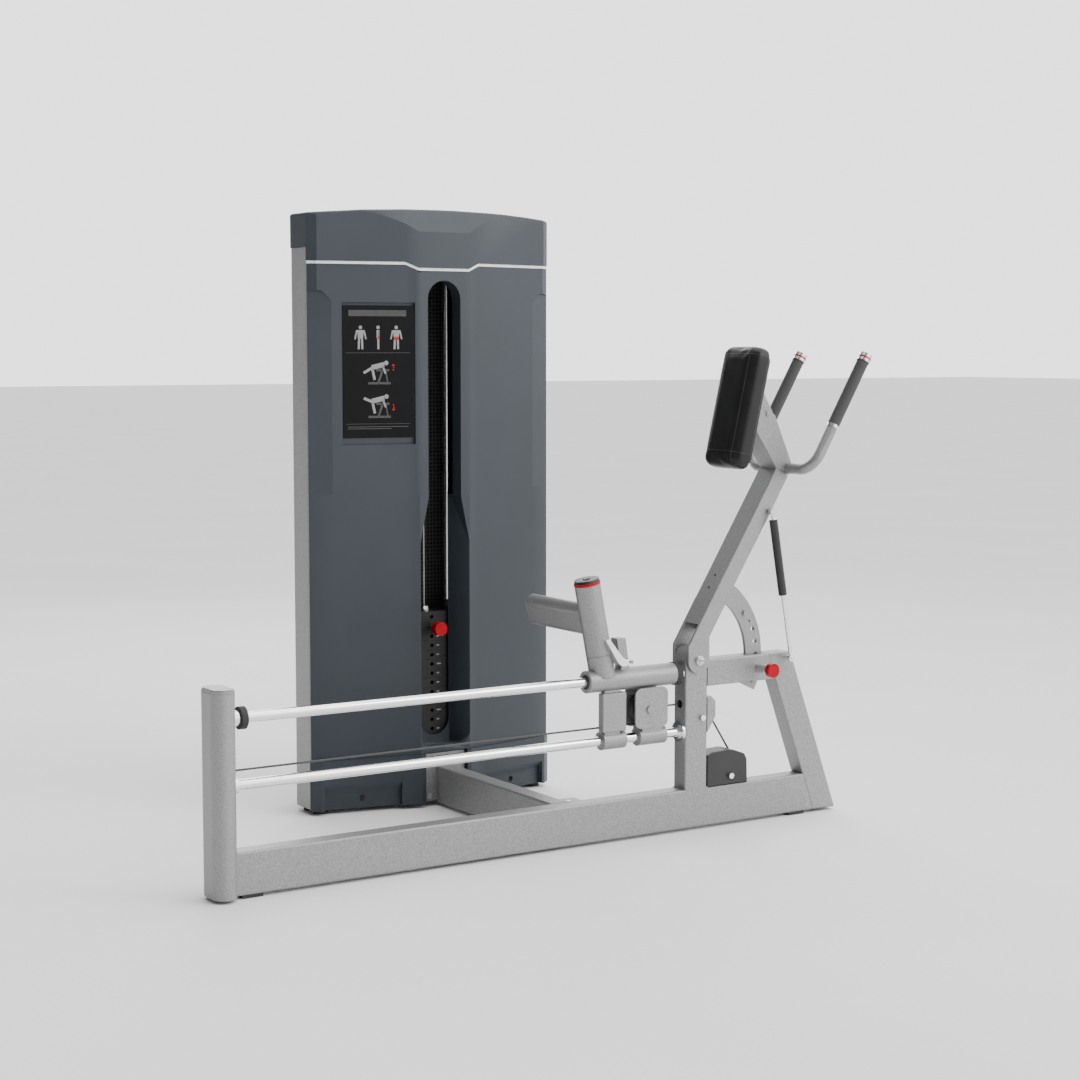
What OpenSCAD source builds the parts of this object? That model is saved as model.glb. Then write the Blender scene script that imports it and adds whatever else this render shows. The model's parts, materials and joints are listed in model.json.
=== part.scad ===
// Standing rear-kick machine: a rail frame with a sliding foot carriage, an adjustable
// chest-pad arm and a selectorised weight tower.
// Work frame: X runs along the base rail from the front post's inner face, Y from the
// rail's centre plane towards the tower, Z up from the floor. place() moves the origin
// to the centre of the object's footprint.

/* [Frame] */
// Height of the base rail and of the cross beam
rail_h = 100; // [90:1:110]
// Width of every frame tube across the rail's plane
tube_w = 50; // [46:1:54]
// Length of the upright's section along the rail
upright_len = 70; // [66:1:74]
// Distance from the front post to the upright
bay_len = 1246; // [1244:1:1250]
// Ground clearance under the frame tubes
ground_gap = 8; // [6:1:12]
// Wall of the frame tubes
tube_wall = 3; // [2:0.5:4]
// Top of the front post's tube
post_h = 472; // [450:1:520]
// Depth of the front post along the rail
post_depth = 58; // [50:1:64]
// Width of the front post across the rail
post_width = 98; // [80:1:110]
// Lean of the rear leg from the vertical
leg_lean = 20; // [18:0.5:22]

/* [Carriage] */
// Height of the upper guide rod
upper_rod_z = 408; // [404:1:412]
// Height of the lower guide rod
lower_rod_z = 256; // [253:1:259]
// Diameter of the guide rods
rail_rod_d = 25; // [20:1:28]
// Outside diameter of the carriage housing
housing_d = 56; // [52:1:60]
// Outside diameter of the two lower sliders
slider_d = 46; // [42:1:50]
// Diameter of the foot post
foot_post_d = 65; // [62:1:70]
// Lean of the foot post from the vertical, towards the front post
foot_lean = 11.3; // [10:0.1:13]
// Reach of the foot bar from the foot post's axis
foot_bar_reach = 272; // [240:1:290]

/* [Pad arm] */
// Lean of the arm from the vertical
arm_lean = 32.2; // [31:0.1:33]
// Lean of the handles from the vertical
handle_lean = 31; // [29:0.5:33]
// Distance from the arm's centre plane to each grip
grip_spread = 130; // [110:1:140]
// Width of the chest pad
pad_w = 152; // [130:1:180]
// Length of the chest pad
pad_len = 322; // [290:1:330]
// Thickness of the chest pad's cushion
pad_t = 56; // [48:1:60]
// Angle between two adjusting holes of the sector plate
hole_step = 9.5; // [8:0.5:9.5]

/* [Tower] */
// Distance from the rail's centre plane to the front of the tower's spine
tower_front = 583; // [575:1:590]
// Width of the tower over its side columns
tower_w = 738; // [720:1:760]
// Position of the tower's centre along the rail
tower_x = 895; // [885:1:905]
// Top of the side columns
column_top = 1492; // [1480:1:1510]
// Number of weight plates under the head plate
plate_count = 15; // [12:1:15]
// Thickness of one weight plate
plate_t = 25.4; // [24:0.1:25.4]

/* [Hidden] */
$fn = 48;

// Colours
steel = [0.66, 0.67, 0.68];
chrome = [0.85, 0.86, 0.88];
black = [0.08, 0.08, 0.09];
shroud = [0.31, 0.34, 0.37];
red = [0.75, 0.1, 0.13];

// Clearances
fit = 0.05;
gap = 0.4;

// Frame places
rail_z = ground_gap;
rail_top = ground_gap + rail_h;
half_w = tube_w / 2;
upright_x = bay_len;
upright_end = upright_x + upright_len;
link_low = 370;
link_top = 439;
leg_foot_x = 1671;
leg_len = 74.5;
leg_slope = tan(leg_lean);
beam_x = tower_x;

// Arm pivot and sector plate
pivot = [1281, 441];
pivot_r = 8;
fork_r = 33;
arm_low = -49;
arm_high = -3;
arm_side = 35;
arm_from = 78;
arm_to = 547;
sector_in = 173;
sector_out = 225;
sector_t = 10;
hole_ring = 205;
pin_angle = -10.4;
sector_holes = [-1, 0, 1, 2, 3];
pin_at = [pivot[0] + hole_ring * cos(pin_angle), pivot[1] + hole_ring * sin(pin_angle)];

// Handles
handle_at = [1566, 921];
handle_d = 28;
handle_bend = 48;
grip_from = 134;
grip_to = 322;

// Chest pad, tilted about Y
pad_lean = 13.1;
pad_mid = [1389, 1088];
board_t = 7;

// Gas spring
gas_y = -47;
gas_top = [1504, 812];
gas_low = [1571, 426];
gas_angle = atan2(gas_top[0] - gas_low[0], gas_top[1] - gas_low[1]);
gas_len = norm(gas_top - gas_low);

// Carriage
housing_x = [956, 1221];
bush_d = 38;
stub_x = 1009.4;
stub_len = 68;
sleeve_from = 69;
sleeve_to = 248;
slider_x = [1000, 1068];
block_x = [1110, 1192];
plate_x = [992, 1062];
latch_pivot = [1062, 456];

// Cable and pulleys
cable_d = 5;
block_at = [1135, 327];
block_r = 37;
upright_wheel = [1298, 291];
upright_wheel_r = 36;
base_wheel = [1389, 131];
base_wheel_r = 47;
cable_z = base_wheel[1] - base_wheel_r;
corner_r = 33;
stack_y = 700;
rise_y = 815;
top_wheel_r = (rise_y - stack_y) / 2;
top_wheel_y = stack_y + top_wheel_r;
top_wheel_z = 1500;
low_wheel_r = 30;
low_wheel_y = rise_y - low_wheel_r;
low_wheel_z = cable_z + low_wheel_r;
wheel_rim = 4;

// Tower
column_w = 69;
column_y = [656, 750];
rear_y = 830;
half_tower = tower_w / 2;
cover_low = 12;
cover_wall = 4.5;
spine_half = 76.5;
bevel_half = 111.7;
flat_half = 347;
bevel_y = tower_front + 11;
flat_y = 640;
stripe_z = 1450;
stripe_h = 7;
stripe_dip = 15;
plinth_top = 146;
plinth_out = 6;
slot_half = 50;
slot_low = 172;
slot_arch = 1360;
slot_back = 628;
opening_low = 183;
scoop_half = 76;
scoop_low = 159;
scoop_mid = 712;
scoop_top = 835;
scoop_back = 645;
placard_w = 192;
placard_h = 346;
placard_low = 997;
placard_from = -22;
recess_deep = 7;
pocket_deep = 9;
facet_top = 1345;
notch_half = 65;
notch_top = 148;
cap_top = 1580;
cap_crown = 17;
slope_low = [tower_front - 8, 1527];
slope_high = [tower_front + 38, 1612];
panel_slope = atan2(flat_y - bevel_y, flat_half - bevel_half);
plate_size = [250, 86];
stack_rod_x = 75;
stack_rod_d = 20;
base_top = 40;
stack_low = 109;
stack_top = stack_low + plate_count * plate_t;
head_t = 30;
selector_d = 25;

// Footprint: the post's outer face to the handle's end cap, grips to the rear cover
handle_end = 343;
cap_d = 34;
foot_x0 = -post_depth;
foot_x1 = handle_at[0] + handle_end * sin(handle_lean) + cap_d / 2 * cos(handle_lean);
foot_y0 = -grip_spread - cap_d / 2;
foot_y1 = rear_y;
mid_x = (foot_x0 + foot_x1) / 2;
mid_y = (foot_y0 + foot_y1) / 2;

module place() { translate([-mid_x, -mid_y, 0]) children(); }

// Shapes
module box(x, y, z) {
    translate([x[0], y[0], z[0]]) cube([x[1] - x[0], y[1] - y[0], z[1] - z[0]]);
}
module rounded(w, h, r) {
    square([w - 2 * r, h], center = true);
    square([w, h - 2 * r], center = true);
    for (i = [-1, 1], j = [-1, 1])
        translate([i * (w / 2 - r), j * (h / 2 - r)]) circle(r = r);
}
// Outline in the X-Z plane, given a thickness along Y
module slab(y) {
    translate([0, y[1], 0]) rotate([90, 0, 0]) linear_extrude(y[1] - y[0]) children();
}
module along_x(x, y, z, d) {
    translate([x[0], y, z]) rotate([0, 90, 0]) cylinder(h = x[1] - x[0], d = d);
}
module along_y(x, y, z, d) {
    translate([x, y[0], z]) rotate([-90, 0, 0]) cylinder(h = y[1] - y[0], d = d);
}
module ring_x(x, y, z, d, bore) {
    difference() {
        along_x(x, y, z, d);
        along_x([x[0] - 1, x[1] + 1], y, z, bore);
    }
}
// Round bar between two points of the X-Z plane
module bar_xz(p, q, y, d) {
    translate([p[0], y, p[1]]) rotate([0, atan2(q[0] - p[0], q[1] - p[1]), 0])
        cylinder(h = norm(q - p), d = d);
}
// Part of a ring in the X-Z plane
module arc_xz(c, y, r, from, to, d) {
    translate([c[0], y, c[1]]) rotate([90, 0, 0]) rotate([0, 0, from])
        rotate_extrude(angle = to - from) translate([r, 0]) circle(d = d);
}
// Rectangular tube along X, Y or Z with rounded corners
module tube_x(x, y, z, r = 5) {
    w = y[1] - y[0];
    h = z[1] - z[0];
    translate([x[0], (y[0] + y[1]) / 2, (z[0] + z[1]) / 2]) rotate([90, 0, 90])
        linear_extrude(x[1] - x[0]) difference() {
            rounded(w, h, r);
            rounded(w - 2 * tube_wall, h - 2 * tube_wall, r - tube_wall + 1);
        }
}
module tube_y(x, y, z, r = 5) {
    w = x[1] - x[0];
    h = z[1] - z[0];
    translate([(x[0] + x[1]) / 2, y[1], (z[0] + z[1]) / 2]) rotate([90, 0, 0])
        linear_extrude(y[1] - y[0]) difference() {
            rounded(w, h, r);
            rounded(w - 2 * tube_wall, h - 2 * tube_wall, r - tube_wall + 1);
        }
}
// Grooved wheel on the Y axis at the origin; groove is the radius under the cable
module wheel(groove, bore) {
    half = 10;
    rim = groove + wheel_rim;
    floor_r = groove - cable_d / 2 - 0.3;
    rotate([90, 0, 0]) rotate_extrude()
        polygon([[bore, -half], [rim, -half], [rim, -half + 3], [floor_r, -2], [floor_r, 2],
                 [rim, half - 3], [rim, half], [bore, half]]);
}

// Frame ----------------------------------------------------------------------
module stadium(w, h) {
    square([w, h - w], center = true);
    for (s = [-1, 1]) translate([0, s * (h - w) / 2]) circle(d = w);
}
module front_post() {
    color(steel) place() translate([-post_depth / 2, 0, rail_z])
        linear_extrude(post_h - rail_z) difference() {
            stadium(post_depth, post_width);
            stadium(post_depth - 2 * tube_wall, post_width - 2 * tube_wall);
        }
}
module post_cap() {
    crown = 3;
    color(steel) place() translate([-post_depth / 2, 0, post_h + 0.6]) {
        linear_extrude(5) stadium(post_depth, post_width);
        translate([0, 0, 4]) linear_extrude(crown + 1)
            stadium(post_depth - 6, post_width - 6);
    }
}
module base_rail() {
    end_low = leg_foot_x;
    color(steel) place() difference() {
        tube_x([0, end_low + 1], [-half_w, half_w], [rail_z, rail_top]);
        slab([-half_w - 1, half_w + 1]) polygon([[leg_x(rail_z - 1), rail_z - 1],
            [end_low + 9, rail_z - 1], [end_low + 9, rail_top + 1],
            [leg_x(rail_top + 1), rail_top + 1]]);
        box([base_wheel[0] - 53, base_wheel[0] + 54], [-12, 12], [rail_top - 8, rail_top + 1]);
        box([tower_x - 12, tower_x + 78], [half_w - 5, half_w + 1], [cable_z - 11, cable_z + 11]);
    }
}
module upright() {
    mid = pivot[0];
    color(steel) place() difference() {
        union() {
            translate([mid, 0, rail_top]) linear_extrude(pivot[1] - rail_top)
                rounded(upright_len, tube_w, 5);
            along_y(mid, [-half_w, half_w], pivot[1], upright_len);
        }
        translate([mid, 0, rail_top - 1]) linear_extrude(290)
            rounded(upright_len - 2 * tube_wall, tube_w - 2 * tube_wall, 3);
        along_y(mid, [-half_w - 1, half_w + 1], pivot[1], 2 * (pivot_r + fit));
        along_x([upright_x - 1, upright_x + 10], 0, block_at[1], 21);
        box([upright_end - 5, upright_end + 1], [-13, 13],
            [upright_wheel[1] - 44, upright_wheel[1] + 44]);
        for (y = [-half_w, half_w])
            along_y(upright_wheel[0], [y - 4, y + 4], upright_wheel[1], 12 + 2 * fit);
    }
}
function leg_x(z) = leg_foot_x - (z - rail_z) * leg_slope;
module link_tube() {
    color(steel) place() difference() {
        tube_x([upright_end, leg_x(link_low)], [-half_w, half_w], [link_low, link_top]);
        slab([-half_w - 1, half_w + 1]) polygon([[leg_x(link_low - 1), link_low - 1],
            [leg_x(link_low) + 9, link_low - 1], [leg_x(link_low) + 9, link_top + 1],
            [leg_x(link_top + 1), link_top + 1]]);
        slab([-8, 8]) translate(pivot) difference() {
            circle(r = sector_out + 3, $fn = 120);
            circle(r = sector_in - 3, $fn = 120);
        }
        along_y(pin_at[0], [-half_w - 1, -half_w + 8], pin_at[1], 16);
    }
}
module rear_leg() {
    wall = tube_wall / cos(leg_lean);
    color(steel) place() difference() {
        slab([-half_w, half_w]) polygon([[leg_foot_x, rail_z], [leg_foot_x + leg_len, rail_z],
            [leg_x(link_top) + leg_len, link_top], [leg_x(link_top), link_top]]);
        slab([-half_w + tube_wall, half_w - tube_wall]) polygon([[leg_x(0) + wall, 0],
            [leg_x(0) + leg_len - wall, 0], [leg_x(link_top - 3) + leg_len - wall, link_top - 3],
            [leg_x(link_top - 3) + wall, link_top - 3]]);
        along_y(gas_low[0], [-half_w - 1, -half_w + 8], gas_low[1], 8 + 2 * fit);
    }
}
module cross_beam() {
    color(steel) place() difference() {
        tube_y([beam_x - half_w, beam_x + half_w], [half_w, tower_front + 7], [rail_z, rail_top]);
        box([beam_x + half_w - 5, beam_x + half_w + 1], [half_w - 1, half_w + 53],
            [cable_z - 11, cable_z + 11]);
    }
}
flange_bolts = [for (x = [-52, 52], z = [30, 130]) [x, z]];
module beam_flange() {
    color(steel) place() difference() {
        box([beam_x - 63, beam_x + 63], [tower_front + 7, tower_front + 15], [14, 145]);
        box([beam_x - 15, beam_x + 15], [tower_front + 6, tower_front + 16], [60, 100]);
        for (b = flange_bolts)
            along_y(beam_x + b[0], [tower_front + 6, tower_front + 16], b[1], 11);
    }
}
module frame_feet() {
    color(black) place() {
        for (x = [40, leg_foot_x - 55])
            box([x - 26, x + 26], [-22, 22], [0, rail_z]);
        for (x = [-half_tower + 36, half_tower - 36], y = [675, 730])
            translate([tower_x + x, y, 0]) cylinder(h = 15, d = 40);
    }
}
module rail_rods() {
    color(chrome) place() for (z = [upper_rod_z, lower_rod_z])
        along_x([0, upright_x], 0, z, rail_rod_d);
}
module rod_collars() {
    bore = rail_rod_d + 2 * fit;
    color(chrome) place() {
        ring_x([0, 6], 0, upper_rod_z, 46, bore);
        ring_x([6.2, 18.8], 0, upper_rod_z, 36, bore);
        ring_x([0, 12], 0, lower_rod_z, 38, bore);
        ring_x([upright_x - 6, upright_x], 0, lower_rod_z, 52, bore);
        ring_x([upright_x - 12, upright_x - 6.2], 0, lower_rod_z, 34, bore);
        ring_x([upright_x - 9, upright_x], 0, upper_rod_z, 42, bore);
    }
}
module rail_bumpers() {
    bore = rail_rod_d + 2 * fit;
    color(black) place() {
        ring_x([19, 34], 0, upper_rod_z, 52, bore);
        ring_x([housing_x[1] + 0.6, upright_x - 9.4], 0, upper_rod_z, 60, bore);
    }
}

// Pulleys, covers and cable ---------------------------------------------------
function arc(c, r, from, to, n) =
    [for (i = [0:n]) c + r * [cos(from + (to - from) * i / n), sin(from + (to - from) * i / n)]];
function cover_outline(inset) = concat(
    [[1447 - inset, 100], [1316 + inset, 100], [1316 + inset, 190 - inset], [1332, 197 - inset]],
    arc([1384, 131], 68 - inset, 92, 68, 3),
    [[1437 - inset / 2, 184 - inset], [1445 - inset, 168 - inset / 2]]);
module pulley_cover() {
    color(black) place() difference() {
        intersection() {
            slab([-27, 27]) polygon(cover_outline(0));
            box([1300, 1500], [-30, 30], [rail_top, 260]);
        }
        slab([-24, 24]) polygon(cover_outline(3));
        box([1385, 1436], [-6, 6], [165, 260]);
        for (y = [-27, 27]) along_y(base_wheel[0], [y - 4, y + 4], base_wheel[1], 12 + 2 * fit);
    }
}
module pulley_brackets() {
    ears = [[upright_end, 342], [1330, 342], [1342, 330], [1342, 291], [upright_end, 251]];
    lug = half_w + 52;
    color(steel) place() {
        for (s = [-1, 1]) difference() {
            slab([s * 21 - 4, s * 21 + 4]) polygon(ears);
            along_y(upright_wheel[0], [-50, 50], upright_wheel[1], 12 + 2 * fit);
        }
        box([upright_end, 1334], [-17, 17], [336, 342]);
        // lugs of the corner pulley, on the rail and the cross beam
        for (z = [cable_z - 19, cable_z + 14]) difference() {
            box([beam_x + half_w, beam_x + lug], [half_w, lug], [z, z + 5]);
            translate([beam_x + corner_r, corner_r, z - 1]) cylinder(h = 7, r = 6);
        }
    }
}
module hex_head(d, h) {
    cylinder(h = h, d = d * 1.15, $fn = 6);
}
module axle_bolts() {
    color(chrome) place() {
        // arm pivot
        along_y(pivot[0], [-40, 40], pivot[1], 2 * pivot_r);
        for (s = [-1, 1]) translate([pivot[0], s * 38.2, pivot[1]]) rotate([90, 0, 0])
            cylinder(h = 5, d = 24, center = true);
        // upright pulley, base pulley
        along_y(upright_wheel[0], [-half_w - 4, half_w + 4], upright_wheel[1], 12);
        along_y(base_wheel[0], [-31, 31], base_wheel[1], 12);
        for (s = [-1, 1]) {
            translate([base_wheel[0], s * 31, base_wheel[1]]) rotate([s * -90, 0, 0])
                hex_head(14, 4);
            translate([upright_wheel[0], s * (half_w + 4), upright_wheel[1]])
                rotate([s * -90, 0, 0]) hex_head(14, 4);
        }
        // corner pulley
        translate([beam_x + corner_r, corner_r, cable_z - 24]) cylinder(h = 48, d = 12);
        // beam flange
        for (b = flange_bolts) {
            along_y(beam_x + b[0], [tower_front + 1, tower_front + 26], b[1], 10);
            translate([beam_x + b[0], tower_front + 7, b[1]]) rotate([90, 0, 0]) hex_head(16, 6);
        }
        // gas spring's lower stud
        along_y(gas_low[0], [gas_y - 9, -half_w + 6], gas_low[1], 8);
    }
}
module upright_pulley() {
    color(black) place() translate([upright_wheel[0], 0, upright_wheel[1]])
        wheel(upright_wheel_r, 6 + fit);
}
module base_pulley() {
    color(black) place() translate([base_wheel[0], 0, base_wheel[1]])
        wheel(base_wheel_r, 6 + fit);
}
module corner_pulley() {
    color(black) place() translate([beam_x + corner_r, corner_r, cable_z]) rotate([90, 0, 0])
        wheel(corner_r, 6 + fit);
}
module tower_low_pulley() {
    color(black) place() translate([tower_x, low_wheel_y, low_wheel_z]) rotate([0, 0, 90])
        wheel(low_wheel_r, 6 + fit);
}
module tower_top_pulley() {
    color(black) place() translate([tower_x, top_wheel_y, top_wheel_z]) rotate([0, 0, 90])
        wheel(top_wheel_r, 6 + fit);
}
// Angle of the straight stretch between the upright's and the base's pulley
wheel_line = base_wheel - upright_wheel;
tangent_angle = atan2(wheel_line[1], wheel_line[0])
    + 90 + asin((base_wheel_r - upright_wheel_r) / norm(wheel_line));
// The straight runs stop a hair short of the curved ones, so every length is a plain solid
slit = 0.02;
module cable_route() {
    dir = [cos(tangent_angle), sin(tangent_angle)];
    along = [dir[1], -dir[0]];
    corner = [beam_x + corner_r, corner_r];
    color(black) place() {
        along_x([upright_x + 6, upright_wheel[0] - slit], 0, block_at[1], cable_d);
        arc_xz(upright_wheel, 0, upright_wheel_r, tangent_angle, 90, cable_d);
        bar_xz(upright_wheel + upright_wheel_r * dir + slit * along,
            base_wheel + base_wheel_r * dir - slit * along, 0, cable_d);
        arc_xz(base_wheel, 0, base_wheel_r, -90, tangent_angle, cable_d);
        along_x([corner[0] + slit, base_wheel[0] - slit], 0, cable_z, cable_d);
        translate([corner[0], corner[1], cable_z]) rotate([0, 0, 180])
            rotate_extrude(angle = 90) translate([corner_r, 0]) circle(d = cable_d);
        along_y(beam_x, [corner[1] + slit, low_wheel_y - slit], cable_z, cable_d);
        translate([tower_x, low_wheel_y, low_wheel_z]) rotate([90, 0, 90]) rotate([0, 0, -90])
            rotate_extrude(angle = 90) translate([low_wheel_r, 0]) circle(d = cable_d);
        translate([tower_x, rise_y, low_wheel_z + slit])
            cylinder(h = top_wheel_z - low_wheel_z - 2 * slit, d = cable_d);
        translate([tower_x, top_wheel_y, top_wheel_z]) rotate([90, 0, 90])
            rotate_extrude(angle = 180) translate([top_wheel_r, 0]) circle(d = cable_d);
    }
}

// Tower -----------------------------------------------------------------------
module tower_base() {
    neck = 60;
    color(steel) place() difference() {
        union() {
            box([tower_x - half_tower + column_w, tower_x + half_tower - column_w],
                [column_y[0] + 4, column_y[1] - 5], [10, base_top]);
            box([tower_x - neck, tower_x + neck], [tower_front + 15, 640], [14, 140]);
            box([tower_x - neck, tower_x + neck], [639, column_y[0] + 5], [14, 70]);
            // lugs of the lower tower pulley
            for (s = [-1, 1]) box([tower_x + s * 17 - 3, tower_x + s * 17 + 3],
                [column_y[1] - 6, low_wheel_y + 14], [20, low_wheel_z + 14]);
        }
        box([tower_x - neck + 12, tower_x + neck - 12], [tower_front + 30, 700], [base_top, 141]);
        box([tower_x - 12, tower_x + 12], [tower_front + 14, 641], [62, 141]);
        along_x([tower_x - 30, tower_x + 30], low_wheel_y, low_wheel_z, 12);
        for (b = flange_bolts)
            along_y(beam_x + b[0], [tower_front + 14, tower_front + 31], b[1], 10 + 4 * fit);
    }
}
module side_columns() {
    round_r = 10;
    mid_yy = (column_y[0] + column_y[1]) / 2;
    depth = column_y[1] - column_y[0];
    color(steel) place() for (s = [-1, 1])
        translate([tower_x + s * (half_tower - column_w / 2), mid_yy, 15])
            linear_extrude(column_top - 15 - gap) difference() {
                rounded(column_w, depth, round_r);
                rounded(column_w - 2 * tube_wall, depth - 2 * tube_wall, round_r - tube_wall);
            }
}
module top_beam() {
    ear = 14;
    beam_z = [1492, 1512];
    color(steel) place() difference() {
        union() {
            box([tower_x - half_tower + column_w, tower_x + half_tower - column_w],
                [662, 748], beam_z);
            for (s = [-1, 1]) box([tower_x + s * (ear + 3) - 3, tower_x + s * (ear + 3) + 3],
                [top_wheel_y - 40, top_wheel_y + 28], [beam_z[0] - 20, beam_z[1] + 18]);
        }
        box([tower_x - ear, tower_x + ear], [top_wheel_y - 66, 850], [beam_z[0] - 21, 1560]);
        along_x([tower_x - 30, tower_x + 30], top_wheel_y, top_wheel_z, 12);
        for (x = [-stack_rod_x, stack_rod_x]) translate([tower_x + x, stack_y, beam_z[0] - 9])
            cylinder(h = 40, d = stack_rod_d + 2 * fit);
    }
}
module stack_rods() {
    color(chrome) place() {
        for (x = [-stack_rod_x, stack_rod_x]) translate([tower_x + x, stack_y, base_top])
            cylinder(h = 1512 - base_top, d = stack_rod_d);
        // axles of the two tower pulleys
        along_x([tower_x - 22, tower_x + 22], top_wheel_y, top_wheel_z, 12);
        along_x([tower_x - 22, tower_x + 22], low_wheel_y, low_wheel_z, 12);
    }
}
// One weight plate with its two rod holes, rod bore and pin hole
module plate(t) {
    difference() {
        translate([tower_x - plate_size[0] / 2, stack_y - plate_size[1] / 2, 0])
            cube([plate_size[0], plate_size[1], t]);
        for (x = [-stack_rod_x, stack_rod_x]) translate([tower_x + x, stack_y, -1])
            cylinder(h = t + 2, d = stack_rod_d + 1.2);
        translate([tower_x, stack_y, -1]) cylinder(h = t + 2, d = selector_d + 1.2);
        along_y(tower_x, [stack_y - 60, stack_y], t / 2, 10.4);
    }
}
module weight_plates() {
    color(black) place() for (i = [0:plate_count - 2])
        translate([0, 0, stack_low + i * plate_t]) plate(plate_t - gap);
}
module first_plate() {
    color(black) place() translate([0, 0, stack_low + (plate_count - 1) * plate_t])
        plate(plate_t - gap);
}
module stack_buffers() {
    color(black) place() for (x = [-stack_rod_x, stack_rod_x])
        translate([tower_x + x, stack_y, base_top]) difference() {
            cylinder(h = stack_low - base_top - 0.2, d = 44);
            translate([0, 0, -1]) cylinder(h = 90, d = stack_rod_d + 1);
        }
}
module head_plate() {
    color(black) place() translate([0, 0, stack_top]) difference() {
        union() {
            plate(head_t);
            for (x = [-stack_rod_x, stack_rod_x]) translate([tower_x + x, stack_y, head_t - 1])
                cylinder(h = 26, d = 36);
        }
        for (x = [-stack_rod_x, stack_rod_x]) translate([tower_x + x, stack_y, -1])
            cylinder(h = 70, d = stack_rod_d + 1.2);
    }
}
module selector_rod() {
    low = stack_low + 4;
    color(chrome) place() difference() {
        union() {
            translate([tower_x, stack_y, low])
                cylinder(h = stack_top + head_t + 12 - low, d = selector_d);
            translate([tower_x, stack_y, stack_top + head_t]) cylinder(h = 12, d = 38);
        }
        for (i = [0:plate_count - 1])
            along_y(tower_x, [stack_y - 20, stack_y + 20],
                stack_low + (i + 0.5) * plate_t - gap / 2, 10.2);
    }
}
pin_z = stack_top - plate_t / 2 - gap / 2;
module selector_pin() {
    color(red) place() {
        along_y(tower_x, [605, 628], pin_z, 37);
        along_y(tower_x, [627, 650], pin_z, 15);
        along_y(tower_x, [649, stack_y + 8], pin_z, 9.5);
    }
}
module lift_cable() {
    low = stack_top + head_t + 12.5;
    color(black) place() translate([tower_x, stack_y, low])
        cylinder(h = top_wheel_z - 1 - low, d = cable_d);
}
// Front face of the tower in plan, left to right
function front_line(out) = [
    [-half_tower - out * 0.6, column_y[0] - 1], [-flat_half - out * 0.4, flat_y - out],
    [-bevel_half, bevel_y - out], [-spine_half, tower_front - out],
    [spine_half, tower_front - out], [bevel_half, bevel_y - out],
    [flat_half + out * 0.4, flat_y - out], [half_tower + out * 0.6, column_y[0] - 1]];
function reversed(list) = [for (i = [len(list) - 1:-1:0]) list[i]];
module front_shell(out, wall) {
    line = front_line(out);
    back = [for (p = line)
        [p[0] * (1 - wall / half_tower), min(p[1] + out + wall, column_y[0] - 1)]];
    translate([tower_x, 0]) polygon(concat(line, reversed(back)));
}
// Whole plan of the front cover, closed along its back
module front_plan(out) {
    translate([tower_x, 0]) polygon(front_line(out));
}
// Height of the seam between front cover and cap, stepped down over the spine
function seam(z) = [
    [-400, z], [-bevel_half, z], [-spine_half, z - stripe_dip],
    [spine_half, z - stripe_dip], [bevel_half, z], [400, z]];
module seam_band(low, high) {
    slab([tower_front - 20, column_y[0] + 20]) translate([tower_x, 0])
        polygon(concat(seam(low), reversed(seam(high))));
}
module arch(half, low, top, more = 0) {
    translate([-half - more, low - more]) square([2 * (half + more), top - low + more]);
    translate([0, top]) circle(r = half + more);
}
// Scoop around the slot's lower part: its outline from the front, and its funnel in plan
module scoop_outline(more) {
    half = scoop_half + more;
    low = scoop_low - more;
    r = 42 + more;
    translate([-half, low + r]) square([2 * half, scoop_mid - low - r]);
    translate([-half + r, low]) square([2 * (half - r), r + 1]);
    for (s = [-1, 1]) translate([s * (half - r), low + r]) circle(r = r);
    polygon([[-half, scoop_mid - 0.1], [half, scoop_mid - 0.1],
             [slot_half + more, scoop_top + more], [-slot_half - more, scoop_top + more]]);
}
module scoop(more) {
    front = tower_front - 10;
    intersection() {
        translate([tower_x, 0, 0]) linear_extrude(scoop_top + 20) polygon([
            [-scoop_half - 4 - more, front], [scoop_half + 4 + more, front],
            [slot_half - 3 + more, scoop_back + more], [-slot_half + 3 - more, scoop_back + more]]);
        slab([front - 1, scoop_back + 20]) translate([tower_x, 0]) scoop_outline(more);
    }
}
// A box lying on the left front panel: along it, into it, and up
module on_panel(mirrored = false) {
    translate([tower_x, 0, 0]) mirror([mirrored ? 1 : 0, 0, 0])
        translate([-bevel_half, bevel_y, 0]) rotate([0, 0, -panel_slope]) children();
}
module panel_recess(more) {
    on_panel() translate([-placard_from - placard_w - 4 - more, -30, placard_low - 18 - more])
        cube([placard_w + 8 + 2 * more, 30 + recess_deep + more, placard_h + 26 + 2 * more]);
}
// Sloped-roof pocket near the foot of each panel
module foot_pocket(more, mirrored) {
    on_panel(mirrored) translate([-232, 0, 0]) rotate([90, 0, 90])
        translate([0, 0, -more]) linear_extrude(214 + 2 * more) polygon([
            [-20, -10], [pocket_deep + more, -10], [pocket_deep + more, 60 + more],
            [-plinth_out, 76 + more], [-20, 78 + more]]);
}
module side_facet(mirrored) {
    inner = [-305, 631];
    outer = [-half_tower - 1, column_y[0] - 0.6];
    run = outer - inner;
    translate([tower_x, 0, 0]) mirror([mirrored ? 1 : 0, 0, 0]) intersection() {
        linear_extrude(1500) polygon([inner - run * 0.5, outer + run,
            outer + run + [-60, -60], inner - run * 0.5 + [0, -60]]);
        slab([500, 700]) polygon([[-400, plinth_top + 4], [-299, plinth_top + 4], [-299, facet_top],
            [-335, facet_top + 36], [-352, facet_top + 36], [-400, facet_top + 20]]);
    }
}
cavity_line = [[-356, 700], [-352, 676], [-296, 638], [-108, 601], [-72, 590]];
module cover_cavity() {
    translate([tower_x, 0, -1]) linear_extrude(1600)
        polygon(concat(cavity_line, [for (p = reversed(cavity_line)) [-p[0], p[1]]]));
}
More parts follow.
